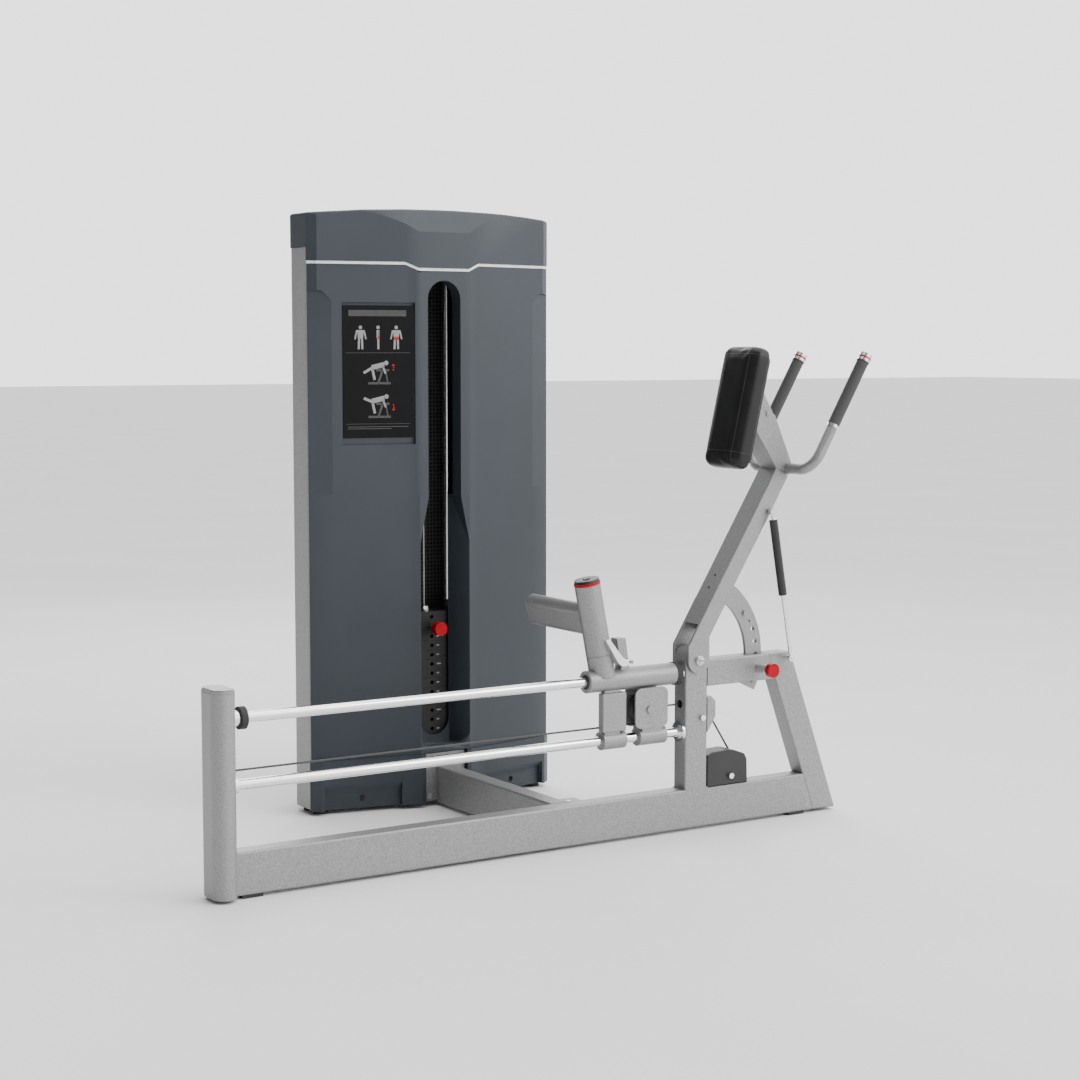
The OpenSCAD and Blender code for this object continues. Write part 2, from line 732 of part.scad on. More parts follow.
module front_cover() {
    wall = 4;
    color(shroud) place() difference() {
        union() {
            intersection() {
                translate([0, 0, cover_low]) linear_extrude(stripe_z + 20) front_plan(0);
                union() {
                    seam_band(stripe_z - 30, stripe_z - 0.3);
                    box([0, 2000], [500, 800], [0, stripe_z - 29]);
                }
            }
            translate([0, 0, cover_low]) linear_extrude(plinth_top - cover_low)
                front_plan(plinth_out);
        }
        difference() {
            cover_cavity();
            scoop(wall);
            slab([tower_front - 20, slot_back]) translate([tower_x, 0])
                arch(slot_half, slot_low, slot_arch, wall);
            panel_recess(wall);
            for (m = [false, true]) foot_pocket(wall, m);
        }
        scoop(0);
        slab([tower_front - 20, 700]) translate([tower_x, 0])
            arch(slot_half - 4, opening_low + slot_half - 4, slot_arch);
        slab([tower_front - 20, slot_back + 1]) translate([tower_x, 0])
            arch(slot_half, scoop_mid, slot_arch);
        slab([tower_front - 20, 700]) translate([tower_x, opening_low + slot_half - 4])
            circle(r = slot_half - 4);
        panel_recess(0);
        for (m = [false, true]) {
            foot_pocket(0, m);
            side_facet(m);
            on_panel(m) translate([-125, -20, 38]) rotate([-90, 0, 0]) cylinder(h = 60, d = 16);
        }
        box([tower_x - notch_half, tower_x + notch_half], [tower_front - 20, 700], [0, notch_top]);
    }
}
module cover_stripe() {
    color("white") place() intersection() {
        translate([0, 0, stripe_z - 40]) linear_extrude(80) front_shell(1, cover_wall + 1);
        seam_band(stripe_z, stripe_z + stripe_h);
    }
}
module placard() {
    color(black) place() on_panel()
        translate([-placard_from - placard_w, recess_deep - 2.4, placard_low])
            cube([placard_w, 2, placard_h]);
}
module rear_cover() {
    outer = [[-340, 751], [-325, 795], [-295, rear_y], [295, rear_y], [325, 795], [340, 751]];
    inner = [[-335, 751], [-320, 793], [-292, rear_y - 4], [292, rear_y - 4], [320, 793],
             [335, 751]];
    color(shroud) place() translate([tower_x, 0, 15]) linear_extrude(column_top - 16)
        polygon(concat(outer, reversed(inner)));
}

function crown(half, low, high, n) =
    [for (i = [-n:n]) [half * i / n, high - (high - low) * pow(i / n, 2)]];
module cap_plan(out, wall) {
    back = column_y[1] + 6 - wall;
    front = [for (p = front_line(out)) [p[0] * (1 - wall / half_tower), p[1] + wall]];
    side = [[half_tower + out - wall, back - 14], [half_tower - 12 - wall, back],
            [336 - wall, back], [322 - wall, 797 - wall / 2], [295 - wall / 2, rear_y - wall]];
    translate([tower_x, 0]) polygon(concat(front, side,
        [for (p = reversed(side)) [-p[0], p[1]]]));
}
module top_cap() {
    out = 3;
    color(shroud) place() {
        difference() {
            intersection() {
                translate([0, 0, column_top]) linear_extrude(150) cap_plan(out, 0);
                slab([500, 900]) translate([tower_x, 0]) polygon(concat(
                    [[-half_tower - 9, column_top - 5]],
                    crown(half_tower + 9, cap_top, cap_top + cap_crown, 12),
                    [[half_tower + 9, column_top - 5]]));
            }
            translate([0, 0, column_top - 1]) linear_extrude(cap_top - column_top - 8)
                cap_plan(out, 5);
            cap_slope();
        }
        difference() {
            intersection() {
                translate([0, 0, stripe_z - 40]) linear_extrude(column_top - stripe_z + 40)
                    front_shell(out, cover_wall + out);
                seam_band(stripe_z + stripe_h + 0.3, column_top + 20);
            }
            cap_slope();
        }
        // wall behind the slope, so the cap stays closed
        intersection() {
            translate([0, 0, column_top]) linear_extrude(150) cap_plan(out, 0);
            translate([tower_x - 340, 0, 0]) rotate([90, 0, 90]) linear_extrude(680)
                polygon([slope_low, slope_high, slope_high + [8, 0], slope_low + [8, -4]]);
            slab([500, 900]) translate([tower_x, 0]) polygon(concat(
                [[-half_tower - 9, column_top - 5]],
                crown(half_tower + 9, cap_top, cap_top + cap_crown, 12),
                [[half_tower + 9, column_top - 5]]));
        }
    }
}
// Sloping face along the cap's front edge; the spine stands proud, so it dips there
module cap_slope() {
    rotate([90, 0, 90]) linear_extrude(2000)
        polygon([slope_low, slope_high, [tower_front - 60, 1612], [tower_front - 60, 1527]]);
}

// Carriage --------------------------------------------------------------------
module carriage_housing() {
    color(steel) place() ring_x(housing_x, 0, upper_rod_z, housing_d, bush_d);
}
module housing_bushes() {
    length = 36;
    color(black) place() for (x = [housing_x[0] + 1, housing_x[1] - length])
        ring_x([x, x + length], 0, upper_rod_z, bush_d, rail_rod_d + 2 * fit);
}
// Along the foot post's axis, from where it crosses the upper rod
module on_post() {
    translate([stub_x, 0, upper_rod_z]) rotate([0, -foot_lean, 0]) children();
}
module foot_stub() {
    color(steel) place() difference() {
        union() {
            on_post() cylinder(h = stub_len, d = foot_post_d);
            on_post() cylinder(h = sleeve_to - 4, d = 40);
            // latch bracket
            slab([-14, 14]) polygon([[1054, upper_rod_z + 10], [1082, upper_rod_z + 10],
                [1067, 512], [1041, 512], [1054, 440]]);
        }
        along_x([900, 1200], 0, upper_rod_z, housing_d);
        box([900, 1200], [-40, 40], [300, upper_rod_z + 11]);
    }
    // pin of the latch lever
    color(steel) place() along_y(latch_pivot[0], [-50, -14], latch_pivot[1], 8);
}
module foot_sleeve() {
    color(steel) place() on_post() difference() {
        translate([0, 0, sleeve_from]) cylinder(h = sleeve_to - sleeve_from, d = foot_post_d);
        translate([0, 0, sleeve_from - 1]) cylinder(h = 200, d = 40 + 2 * fit);
    }
}
module sleeve_cap() {
    color(black) place() on_post() {
        translate([0, 0, sleeve_to]) cylinder(h = 5, d = foot_post_d);
        translate([0, 0, sleeve_to + 5]) cylinder(h = 9, d = foot_post_d - 3);
        translate([0, 0, sleeve_to + 14]) cylinder(h = 2, d = 18);
    }
}
module foot_bar() {
    tall = 80;
    mid = 156;
    color(steel) place() on_post() difference() {
        translate([0, 0, mid]) rotate([-90, 0, 0]) linear_extrude(foot_bar_reach)
            rounded(44, tall, 21.9);
        translate([0, 0, sleeve_from - 10]) cylinder(h = 250, d = foot_post_d);
    }
}
module latch_lever() {
    color(chrome) place() difference() {
        union() {
            slab([-46, -15]) polygon([[1022, 458], [1036, 446], [1050, 446], [1050, 462],
                [1037, 470], [1001, 513], [994, 517], [987, 514]]);
            along_y(latch_pivot[0], [-46, -15], latch_pivot[1], 20);
            box([1046, 1063], [-46, -15], [448, 463]);
        }
        along_y(latch_pivot[0], [-50, -10], latch_pivot[1], 8 + 2 * fit);
        on_post() cylinder(h = 250, d = foot_post_d + 1.2);
        along_x([900, 1200], 0, upper_rod_z, housing_d + 1);
    }
}
module carriage_plate() {
    color(steel) place() {
        difference() {
            union() {
                box(plate_x, [-26, -4], [281, 378]);
                box([1004, 1050], [-15, 4], [lower_rod_z, upper_rod_z]);
            }
            along_x([900, 1200], 0, upper_rod_z, housing_d);
            along_x([900, 1200], 0, lower_rod_z, slider_d);
            along_x([1000, 1055], 0, block_at[1] - block_r, 9);
        }
        box([1036, plate_x[1]], [-5, 8], [354, 374]);
        along_x([plate_x[1], 1076], 0, block_at[1] + block_r, 13);
        ring_x(slider_x, 0, lower_rod_z, slider_d, rail_rod_d + 2 * fit);
    }
}
module block_plates() {
    mid = [1141, 331];
    color(steel) place() {
        difference() {
            union() {
                for (s = [-1, 1]) slab([s * 22.5 - 2.5, s * 22.5 + 2.5])
                    translate(mid) rounded(100, 102, 18);
                box([1115, 1177], [-20.5, 20.5], [262, 285]);
                box([1180, 1187], [-20, 20], [300, 354]);
            }
            along_x([1000, 1300], 0, lower_rod_z, slider_d);
        }
        along_y(block_at[0], [-27, 27], block_at[1], 16);
        for (s = [-1, 1]) translate([block_at[0], s * 25, block_at[1]]) rotate([s * -90, 0, 0])
            hex_head(20, 5);
        along_x([1187, 1202], 0, block_at[1], 13);
        ring_x(block_x, 0, lower_rod_z, slider_d, rail_rod_d + 2 * fit);
    }
}
module block_pulley() {
    color(black) place() translate([block_at[0], 0, block_at[1]]) wheel(block_r, 8 + fit);
}
module cable_front_run() {
    color(black) place() {
        along_x([0, block_at[0]], 0, block_at[1] - block_r, cable_d);
        arc_xz(block_at, 0, block_r, -90, 90, cable_d);
        along_x([1076.2, block_at[0]], 0, block_at[1] + block_r, cable_d);
    }
}
module cable_pull_run() {
    color(black) place() along_x([1202.2, upright_x + 5.8], 0, block_at[1], cable_d);
}

// Pad arm ---------------------------------------------------------------------
// Along the arm, from its pivot
module on_arm() {
    translate([pivot[0], 0, pivot[1]]) rotate([0, arm_lean, 0]) children();
}
function arm_point(x, t) = pivot + [x * cos(arm_lean) + t * sin(arm_lean),
                                    t * cos(arm_lean) - x * sin(arm_lean)];
module fork_outline() {
    translate(pivot) circle(r = fork_r);
    polygon([pivot + [-fork_r, 0], pivot + [-fork_r, 38], arm_point(arm_low, 150),
             arm_point(arm_high, 165), pivot + [fork_r, 58], pivot + [fork_r, 0]]);
}
module arm_fork() {
    color(steel) place() for (s = [-1, 1]) difference() {
        slab([s * 31 - 4, s * 31 + 4]) fork_outline();
        along_y(pivot[0], [-50, 50], pivot[1], 2 * (pivot_r + fit));
    }
}
module arm_tube() {
    head = [arm_point(arm_low, arm_to - 8), arm_point(arm_high, arm_to - 2), [1579, 930],
            [1521, 1060], pad_point(pad_t + board_t, 6), pad_point(pad_t + board_t, -32)];
    color(steel) place() difference() {
        union() {
            on_arm() translate([(arm_low + arm_high) / 2, 0, arm_from])
                linear_extrude(arm_to - arm_from - 6) rounded(arm_high - arm_low, 2 * arm_side, 4);
            slab([-arm_side, arm_side]) polygon(head);
            along_y(gas_top[0], [-41, -arm_side + 4], gas_top[1], 14);
            // bracket plates behind the pad
            for (s = [-1, 1]) slab([s * 26 - 3, s * 26 + 3]) polygon([[1519, 1045],
                [1521, 1062], [1510, 1082], pad_point(pad_t + board_t, 78),
                pad_point(pad_t + board_t, -20)]);
            along_y(1497, [-arm_side - 3, -20], 1064, 14);
        }
        on_arm() translate([(arm_low + arm_high) / 2, 0, arm_from - 1])
            linear_extrude(arm_to - arm_from - 30)
                rounded(arm_high - arm_low - 2 * tube_wall, 2 * (arm_side - tube_wall), 2);
        for (s = [-1, 1]) slab([s * 31 - 4, s * 31 + 4]) fork_outline();
        along_y(handle_at[0], [-60, 60], handle_at[1], handle_d);
        // two small holes in the lower face of the tube
        on_arm() for (t = [182, 218]) translate([arm_low - 1, 0, t]) rotate([0, 90, 0])
            cylinder(h = 8, d = 7);
    }
}
module sector_plate() {
    from = -25.5;
    to = 59.5;
    wedge = concat([[0, 0]], arc([0, 0], 300, from, to, 8));
    color(steel) place() difference() {
        slab([-sector_t / 2, sector_t / 2]) translate(pivot) difference() {
            intersection() {
                difference() {
                    circle(r = sector_out, $fn = 180);
                    circle(r = sector_in, $fn = 180);
                }
                polygon(wedge);
            }
            for (i = sector_holes) rotate(pin_angle + i * hole_step)
                translate([hole_ring, 0]) circle(d = 13);
            rotate(24.7) translate([203, 0]) circle(d = 6);
        }
        on_arm() translate([arm_low, -50, 0]) cube([arm_high - arm_low, 100, 500]);
    }
    // bolt through the plate above its holes
    color(steel) place() along_y(1449, [-sector_t / 2 - 6, -sector_t / 2], 548, 14);
}
module handle_bars() {
    run = grip_spread - handle_bend;
    color(steel) place() translate([handle_at[0], 0, handle_at[1]]) rotate([0, handle_lean, 0]) {
        rotate([90, 0, 0]) translate([0, 0, -run]) cylinder(h = 2 * run, d = handle_d);
        for (s = [-1, 1]) {
            translate([0, s * run, handle_bend]) rotate([90, 0, s * 90]) rotate([0, 0, -90])
                rotate_extrude(angle = 90) translate([handle_bend, 0]) circle(d = handle_d);
            translate([0, s * grip_spread, handle_bend])
                cylinder(h = grip_to - handle_bend, d = handle_d);
            translate([0, s * grip_spread, grip_from - 9]) difference() {
                cylinder(h = 8, d = 32);
                translate([0, 0, -1]) cylinder(h = 10, d = handle_d);
            }
            translate([0, s * grip_spread, grip_to + 0.3])
                cylinder(h = handle_end - grip_to - 0.3, d = cap_d);
        }
    }
}
module grips() {
    color(black) place() translate([handle_at[0], 0, handle_at[1]]) rotate([0, handle_lean, 0])
        for (s = [-1, 1]) translate([0, s * grip_spread, grip_from]) difference() {
            cylinder(h = grip_to - grip_from, d = 31);
            translate([0, 0, -1]) cylinder(h = grip_to, d = handle_d);
        }
}
// The pad's own frame: Z up its length, X from face to back
module on_pad() {
    translate([pad_mid[0], 0, pad_mid[1]]) rotate([0, pad_lean, 0]) children();
}
function pad_point(x, z) = pad_mid + [x * cos(pad_lean) + z * sin(pad_lean),
                                      z * cos(pad_lean) - x * sin(pad_lean)];
module pad_board() {
    color(black) place() on_pad() difference() {
        translate([pad_t + 0.3, 0, 0]) rotate([90, 0, 90]) linear_extrude(board_t - 0.3)
            rounded(pad_w - 24, pad_len - 40, 18);
        for (z = [-24, 8]) translate([pad_t, 0, z]) rotate([0, 90, 0]) cylinder(h = 20, d = 9);
    }
}
module chest_pad() {
    color(black) place() on_pad() rotate([90, 0, 0])
        linear_extrude(pad_w, center = true) translate([pad_t / 2, 0]) rounded(pad_t, pad_len, 22);
}

// Gas spring, standing on its lower stud
module on_gas() {
    translate([gas_low[0], gas_y, gas_low[1]]) rotate([0, gas_angle, 0]) children();
}
module gas_cylinder() {
    rod_part = 170;
    color(black) place() on_gas() difference() {
        union() {
            translate([0, 0, rod_part]) cylinder(h = gas_len - rod_part - 20, d = 22);
            translate([0, 0, gas_len - 21]) cylinder(h = 14, d = 9);
            translate([0, 0, gas_len]) rotate([90, 0, 0]) cylinder(h = 11, d = 18, center = true);
        }
        translate([0, 0, rod_part - 1]) cylinder(h = gas_len - rod_part - 28, d = 10 + 2 * fit);
    }
}
module gas_rod() {
    inside = 14;
    color(chrome) place() on_gas() difference() {
        union() {
            translate([0, 0, 5]) cylinder(h = 165 + inside, d = 10);
            rotate([90, 0, 0]) cylinder(h = 11, d = 18, center = true);
        }
        rotate([90, 0, 0]) cylinder(h = 20, d = 8 + 2 * fit, center = true);
    }
}

// Spring-loaded pin that drops into the sector's holes
module pin_barrel() {
    color(black) place() difference() {
        along_y(pin_at[0], [-half_w - 46, -half_w], pin_at[1], 24);
        along_y(pin_at[0], [-half_w - 47, -half_w + 1], pin_at[1], 14 + 2 * fit);
    }
}
module pop_pin() {
    color(red) place() {
        along_y(pin_at[0], [-half_w - 62, -half_w - 47], pin_at[1], 37);
        along_y(pin_at[0], [-half_w - 48, -half_w - 12], pin_at[1], 14);
        along_y(pin_at[0], [-half_w - 13, -sector_t / 2 - 1], pin_at[1], 11);
    }
}

front_post();
post_cap();
base_rail();
upright();
link_tube();
rear_leg();
cross_beam();
beam_flange();
frame_feet();
rail_rods();
rod_collars();
rail_bumpers();
pulley_cover();
pulley_brackets();
axle_bolts();
upright_pulley();
base_pulley();
corner_pulley();
tower_low_pulley();
tower_top_pulley();
cable_route();
tower_base();
side_columns();
top_beam();
stack_rods();
weight_plates();
stack_buffers();
front_cover();
cover_stripe();
placard();
rear_cover();
top_cap();
head_plate();
selector_rod();
first_plate();
lift_cable();
selector_pin();
carriage_housing();
housing_bushes();
foot_stub();
carriage_plate();
latch_lever();
foot_sleeve();
sleeve_cap();
foot_bar();
block_plates();
block_pulley();
cable_front_run();
cable_pull_run();
arm_tube();
arm_fork();
sector_plate();
handle_bars();
grips();
pad_board();
chest_pad();
gas_cylinder();
gas_rod();
pin_barrel();
pop_pin();
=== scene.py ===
"""Looks of the standing rear-kick machine: camera, studio, materials and detailed pieces.

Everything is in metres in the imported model's own frame: +X along the base rail from the
front post to the rear leg, +Y towards the weight tower, +Z up, z = 0 on the floor.
"""

import json

from math import cos, pi, radians, sin

import bmesh
import bpy
from mathutils import Matrix, Vector
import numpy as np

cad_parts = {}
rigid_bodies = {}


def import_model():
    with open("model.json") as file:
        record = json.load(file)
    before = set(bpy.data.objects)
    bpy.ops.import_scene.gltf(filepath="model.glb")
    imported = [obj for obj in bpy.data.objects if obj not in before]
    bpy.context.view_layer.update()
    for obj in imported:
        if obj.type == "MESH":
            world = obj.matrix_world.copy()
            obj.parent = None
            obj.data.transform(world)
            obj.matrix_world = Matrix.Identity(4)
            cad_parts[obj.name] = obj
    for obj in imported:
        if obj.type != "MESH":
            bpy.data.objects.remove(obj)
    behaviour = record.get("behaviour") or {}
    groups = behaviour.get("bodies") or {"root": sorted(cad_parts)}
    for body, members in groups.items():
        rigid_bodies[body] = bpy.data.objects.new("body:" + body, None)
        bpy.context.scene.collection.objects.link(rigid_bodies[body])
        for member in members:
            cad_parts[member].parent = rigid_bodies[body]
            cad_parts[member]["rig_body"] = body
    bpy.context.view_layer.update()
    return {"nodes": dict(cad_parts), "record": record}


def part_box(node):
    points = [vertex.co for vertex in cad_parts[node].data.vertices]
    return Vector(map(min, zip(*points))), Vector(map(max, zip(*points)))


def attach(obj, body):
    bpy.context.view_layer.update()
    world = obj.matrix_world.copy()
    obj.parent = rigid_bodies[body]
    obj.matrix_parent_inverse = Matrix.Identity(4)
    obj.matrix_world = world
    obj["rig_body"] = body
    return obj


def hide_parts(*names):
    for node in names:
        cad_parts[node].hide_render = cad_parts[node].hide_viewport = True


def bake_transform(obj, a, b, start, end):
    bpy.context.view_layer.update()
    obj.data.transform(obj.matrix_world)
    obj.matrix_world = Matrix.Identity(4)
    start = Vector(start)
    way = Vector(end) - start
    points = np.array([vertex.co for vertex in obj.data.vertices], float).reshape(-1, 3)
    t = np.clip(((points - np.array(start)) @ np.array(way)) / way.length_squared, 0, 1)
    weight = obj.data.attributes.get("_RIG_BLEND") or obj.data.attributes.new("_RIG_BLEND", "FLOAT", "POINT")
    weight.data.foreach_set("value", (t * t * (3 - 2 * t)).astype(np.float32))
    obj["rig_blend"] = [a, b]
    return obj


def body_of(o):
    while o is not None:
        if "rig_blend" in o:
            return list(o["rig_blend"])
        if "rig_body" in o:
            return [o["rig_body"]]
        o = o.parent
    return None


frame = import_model()
nodes = frame["nodes"]

MM = 0.001
SAME_POINT = 1e-6
# Where the drawing's work frame (post's inner face, rail's centre plane) sits here
post_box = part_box("front_post")
WORK_X = post_box[1][0]
WORK_Y = (post_box[0][1] + post_box[1][1]) / 2


def at(x, y, z):
    """A point given in millimetres in the work frame."""
    return Vector((WORK_X + x * MM, WORK_Y + y * MM, z * MM))


# ---------------------------------------------------------------- camera and studio
CAMERA_AT = (-1939, -4296, 1234.5)
SENSOR_WIDTH, CLIP_END = 36.0, 100.0


def look_from(place, yaw, pitch, lens):
    """The camera, turned yaw degrees to the right and pitch degrees down."""
    cam = bpy.data.cameras.new("photo_camera")
    cam.lens = lens
    cam.sensor_width = SENSOR_WIDTH
    cam.clip_end = CLIP_END
    obj = bpy.data.objects.new("photo_camera", cam)
    bpy.context.scene.collection.objects.link(obj)
    obj.location = place
    obj.rotation_euler = (radians(90 - pitch), 0, radians(-yaw))
    bpy.context.scene.camera = obj


look_from(at(*CAMERA_AT), yaw=32.73, pitch=5.215, lens=70.45)


def area_light(name, place, target, size, power):
    light = bpy.data.lights.new(name, "AREA")
    light.shape = "RECTANGLE"
    light.size, light.size_y = size
    light.energy = power
    obj = bpy.data.objects.new(name, light)
    bpy.context.scene.collection.objects.link(obj)
    obj.location = place
    obj.rotation_euler = (Vector(target) - Vector(place)).to_track_quat("-Z", "Y").to_euler()


area_light("key", (3.2, -4.2, 3.6), target=(0.2, 0, 0.6), size=(2.4, 2.4), power=110)
area_light("top", (0.0, -0.4, 4.6), target=(0, 0, 0.5), size=(3.5, 3.5), power=70)
area_light("rim", (1.5, 4.0, 3.0), target=(0, 0, 0.8), size=(2.5, 1.5), power=60)


def studio_world(dim, bright, fall_from, fall_to):
    """A white studio that falls off towards -X, so faces on that side stay darker."""
    world = bpy.data.worlds.new("studio")
    world.use_nodes = True
    tree = world.node_tree
    coords = tree.nodes.new("ShaderNodeTexCoord").outputs["Generated"]
    split = tree.nodes.new("ShaderNodeSeparateXYZ")
    tree.links.new(coords, split.inputs["Vector"])
    fall = tree.nodes.new("ShaderNodeMapRange")
    fall.interpolation_type = "SMOOTHSTEP"
    fall.inputs["From Min"].default_value = fall_from
    fall.inputs["From Max"].default_value = fall_to
    fall.inputs["To Min"].default_value = dim
    fall.inputs["To Max"].default_value = bright
    tree.links.new(split.outputs["X"], fall.inputs["Value"])
    back = tree.nodes["Background"]
    back.inputs["Color"].default_value = (1, 1, 1, 1)
    tree.links.new(fall.outputs["Result"], back.inputs["Strength"])
    bpy.context.scene.world = world


studio_world(dim=0.28, bright=2.4, fall_from=-0.40, fall_to=0.32)


# ---------------------------------------------------------------- materials
class Shader:
    """A small helper around one material's node tree."""

    def __init__(self, name):
        self.mat = bpy.data.materials.new(name)
        self.mat.use_nodes = True
        self.tree = self.mat.node_tree
        self.bsdf = self.tree.nodes["Principled BSDF"]
        self.coords = self.tree.nodes.new("ShaderNodeTexCoord").outputs["Object"]

    def new(self, kind, **settings):
        node = self.tree.nodes.new(kind)
        for key, value in settings.items():
            setattr(node, key, value)
        return node

    def link(self, a, b):
        self.tree.links.new(a, b)

    def base(self, metallic=0.0, **sockets):
        self.bsdf.inputs["Metallic"].default_value = metallic
        for key, value in sockets.items():
            self.bsdf.inputs[key.replace("_", " ")].default_value = value
        return self

    def noise(self, scale, detail=2.0, rough=0.5, stretch=None):
        """Noise in the piece's own space; scale is in cells per metre."""
        node = self.new("ShaderNodeTexNoise")
        node.inputs["Scale"].default_value = scale
        node.inputs["Detail"].default_value = detail
        node.inputs["Roughness"].default_value = rough
        source = self.coords
        if stretch:
            mapping = self.new("ShaderNodeMapping")
            mapping.inputs["Scale"].default_value = stretch
            self.link(source, mapping.inputs["Vector"])
            source = mapping.outputs["Vector"]
        self.link(source, node.inputs["Vector"])
        return node.outputs["Fac"]

    def ramp(self, source, stops):
        """Colours from source; stops are (place, colour)."""
        node = self.new("ShaderNodeValToRGB")
        ramp = node.color_ramp
        while len(ramp.elements) < len(stops):
            ramp.elements.new(0.5)
        for element, (place, colour) in zip(ramp.elements, stops):
            element.position = place
            element.color = (*colour, 1)
        self.link(source, node.inputs["Fac"])
        return node.outputs["Color"]

    def colour(self, source):
        self.link(source, self.bsdf.inputs["Base Color"])
        return self

    def rough(self, source, low, high):
        """Roughness that follows source between low and high."""
        node = self.new("ShaderNodeMapRange")
        node.inputs["To Min"].default_value = low
        node.inputs["To Max"].default_value = high
        self.link(source, node.inputs["Value"])
        self.link(node.outputs["Result"], self.bsdf.inputs["Roughness"])
        return self

    def bump(self, source, depth, strength):
        """Relief depth metres deep, added to any relief already there."""
        node = self.new("ShaderNodeBump")
        node.inputs["Distance"].default_value = depth
        node.inputs["Strength"].default_value = strength
        self.link(source, node.inputs["Height"])
        old = self.bsdf.inputs["Normal"].links
        if old:
            self.link(old[0].from_socket, node.inputs["Normal"])
        self.link(node.outputs["Normal"], self.bsdf.inputs["Normal"])
        return self


def grey(v):
    return (v, v, v)


def painted_frame():
    s = Shader("painted_frame").base(metallic=0.55)
    grain = s.noise(520, detail=3, rough=0.7)
    s.colour(s.ramp(grain, [(0.30, grey(0.13)), (0.48, grey(0.29)), (0.62, grey(0.34)),
                            (0.74, grey(0.62))]))
    s.rough(s.noise(260, detail=2), 0.36, 0.55)
    s.bump(grain, 0.0004, 0.35)
    return s.mat


def painted_shroud():
    s = Shader("painted_shroud").base(metallic=0.0)
    cloud = s.noise(5, detail=3)
    s.colour(s.ramp(cloud, [(0.3, (0.021, 0.028, 0.037)), (0.7, (0.025, 0.033, 0.043))]))
    grain = s.noise(900, detail=2)
    s.rough(grain, 0.42, 0.58)
    s.bump(grain, 0.0002, 0.3)
    return s.mat


def chrome():
    s = Shader("chrome").base(metallic=1.0)
    streak = s.noise(160, detail=4, stretch=(0.08, 1, 1))
    s.colour(s.ramp(streak, [(0.3, grey(0.80)), (0.7, grey(0.92))]))
    s.rough(streak, 0.08, 0.20)
    return s.mat


def brushed(name, value, low, high):
    s = Shader(name).base(metallic=0.9)
    streak = s.noise(220, detail=4, stretch=(1, 1, 0.1))
    s.colour(s.ramp(streak, [(0.3, grey(value * 0.8)), (0.7, grey(value))]))
    s.rough(streak, low, high)
    return s.mat


def black_steel():
    s = Shader("black_steel").base(metallic=0.3)
    grain = s.noise(700, detail=3)
    s.colour(s.ramp(grain, [(0.3, grey(0.012)), (0.7, grey(0.028))]))
    s.rough(s.noise(60, detail=3), 0.35, 0.55)
    s.bump(grain, 0.0003, 0.4)
    return s.mat


def rubber():
    s = Shader("rubber").base()
    grain = s.noise(600, detail=3)
    s.colour(s.ramp(grain, [(0.3, grey(0.014)), (0.7, grey(0.030))]))
    s.rough(grain, 0.6, 0.85)
    s.bump(grain, 0.0004, 0.5)
    return s.mat


def black_plastic():
    s = Shader("black_plastic").base()
    grain = s.noise(1100, detail=2)
    s.colour(s.ramp(s.noise(14, detail=3), [(0.3, grey(0.011)), (0.7, grey(0.017))]))
    s.rough(grain, 0.38, 0.52)
    s.bump(grain, 0.0002, 0.35)
    return s.mat


def red_plastic():
    s = Shader("red_plastic").base(Specular_IOR_Level=0.12)
    cloud = s.noise(60, detail=2)
    s.colour(s.ramp(cloud, [(0.3, (0.33, 0.003, 0.008)), (0.7, (0.42, 0.004, 0.012))]))
    s.rough(cloud, 0.30, 0.42)
    return s.mat


def white_stripe():
    s = Shader("white_stripe").base()
    cloud = s.noise(40, detail=2)
    s.colour(s.ramp(cloud, [(0.3, grey(0.78)), (0.7, grey(0.88))]))
    s.rough(cloud, 0.35, 0.5)
    return s.mat


def placard_print():
    s = Shader("placard_print").base(Specular_IOR_Level=0.15)
    cloud = s.noise(30, detail=2)
    s.colour(s.ramp(cloud, [(0.3, grey(0.002)), (0.7, grey(0.0035))]))
    s.rough(cloud, 0.18, 0.3)
    return s.mat


def vinyl():
    s = Shader("vinyl").base(Specular_IOR_Level=0.35)
    cell = s.new("ShaderNodeTexVoronoi", feature="DISTANCE_TO_EDGE")
    cell.inputs["Scale"].default_value = 620
    s.link(s.coords, cell.inputs["Vector"])
    cloud = s.noise(18, detail=4)
    s.colour(s.ramp(cloud, [(0.3, grey(0.004)), (0.7, grey(0.007))]))
    s.rough(s.noise(90, detail=3), 0.36, 0.52)
    s.bump(cell.outputs["Distance"], 0.0004, 0.45)
    return s.mat


def grip_foam():
    s = Shader("grip_foam").base()
    grain = s.noise(800, detail=4, rough=0.7)
    s.colour(s.ramp(grain, [(0.3, grey(0.030)), (0.7, grey(0.075))]))
    s.rough(grain, 0.75, 0.95)
    s.bump(grain, 0.0008, 0.6)
    return s.mat


def cable_jacket():
    s = Shader("cable_jacket").base()
    strand = s.new("ShaderNodeTexWave", wave_type="BANDS", bands_direction="DIAGONAL")
    strand.inputs["Scale"].default_value = 160
    s.link(s.coords, strand.inputs["Vector"])
    s.colour(s.ramp(strand.outputs["Fac"], [(0.2, grey(0.015)), (0.8, grey(0.045))]))
    s.rough(strand.outputs["Fac"], 0.3, 0.5)
    return s.mat


def ink(name, tint):
    s = Shader(name).base(Specular_IOR_Level=0.2)
    cloud = s.noise(90, detail=2)
    s.colour(s.ramp(cloud, [(0.3, tuple(0.85 * c for c in tint)), (0.7, tint)]))
    s.rough(cloud, 0.3, 0.45)
    return s.mat


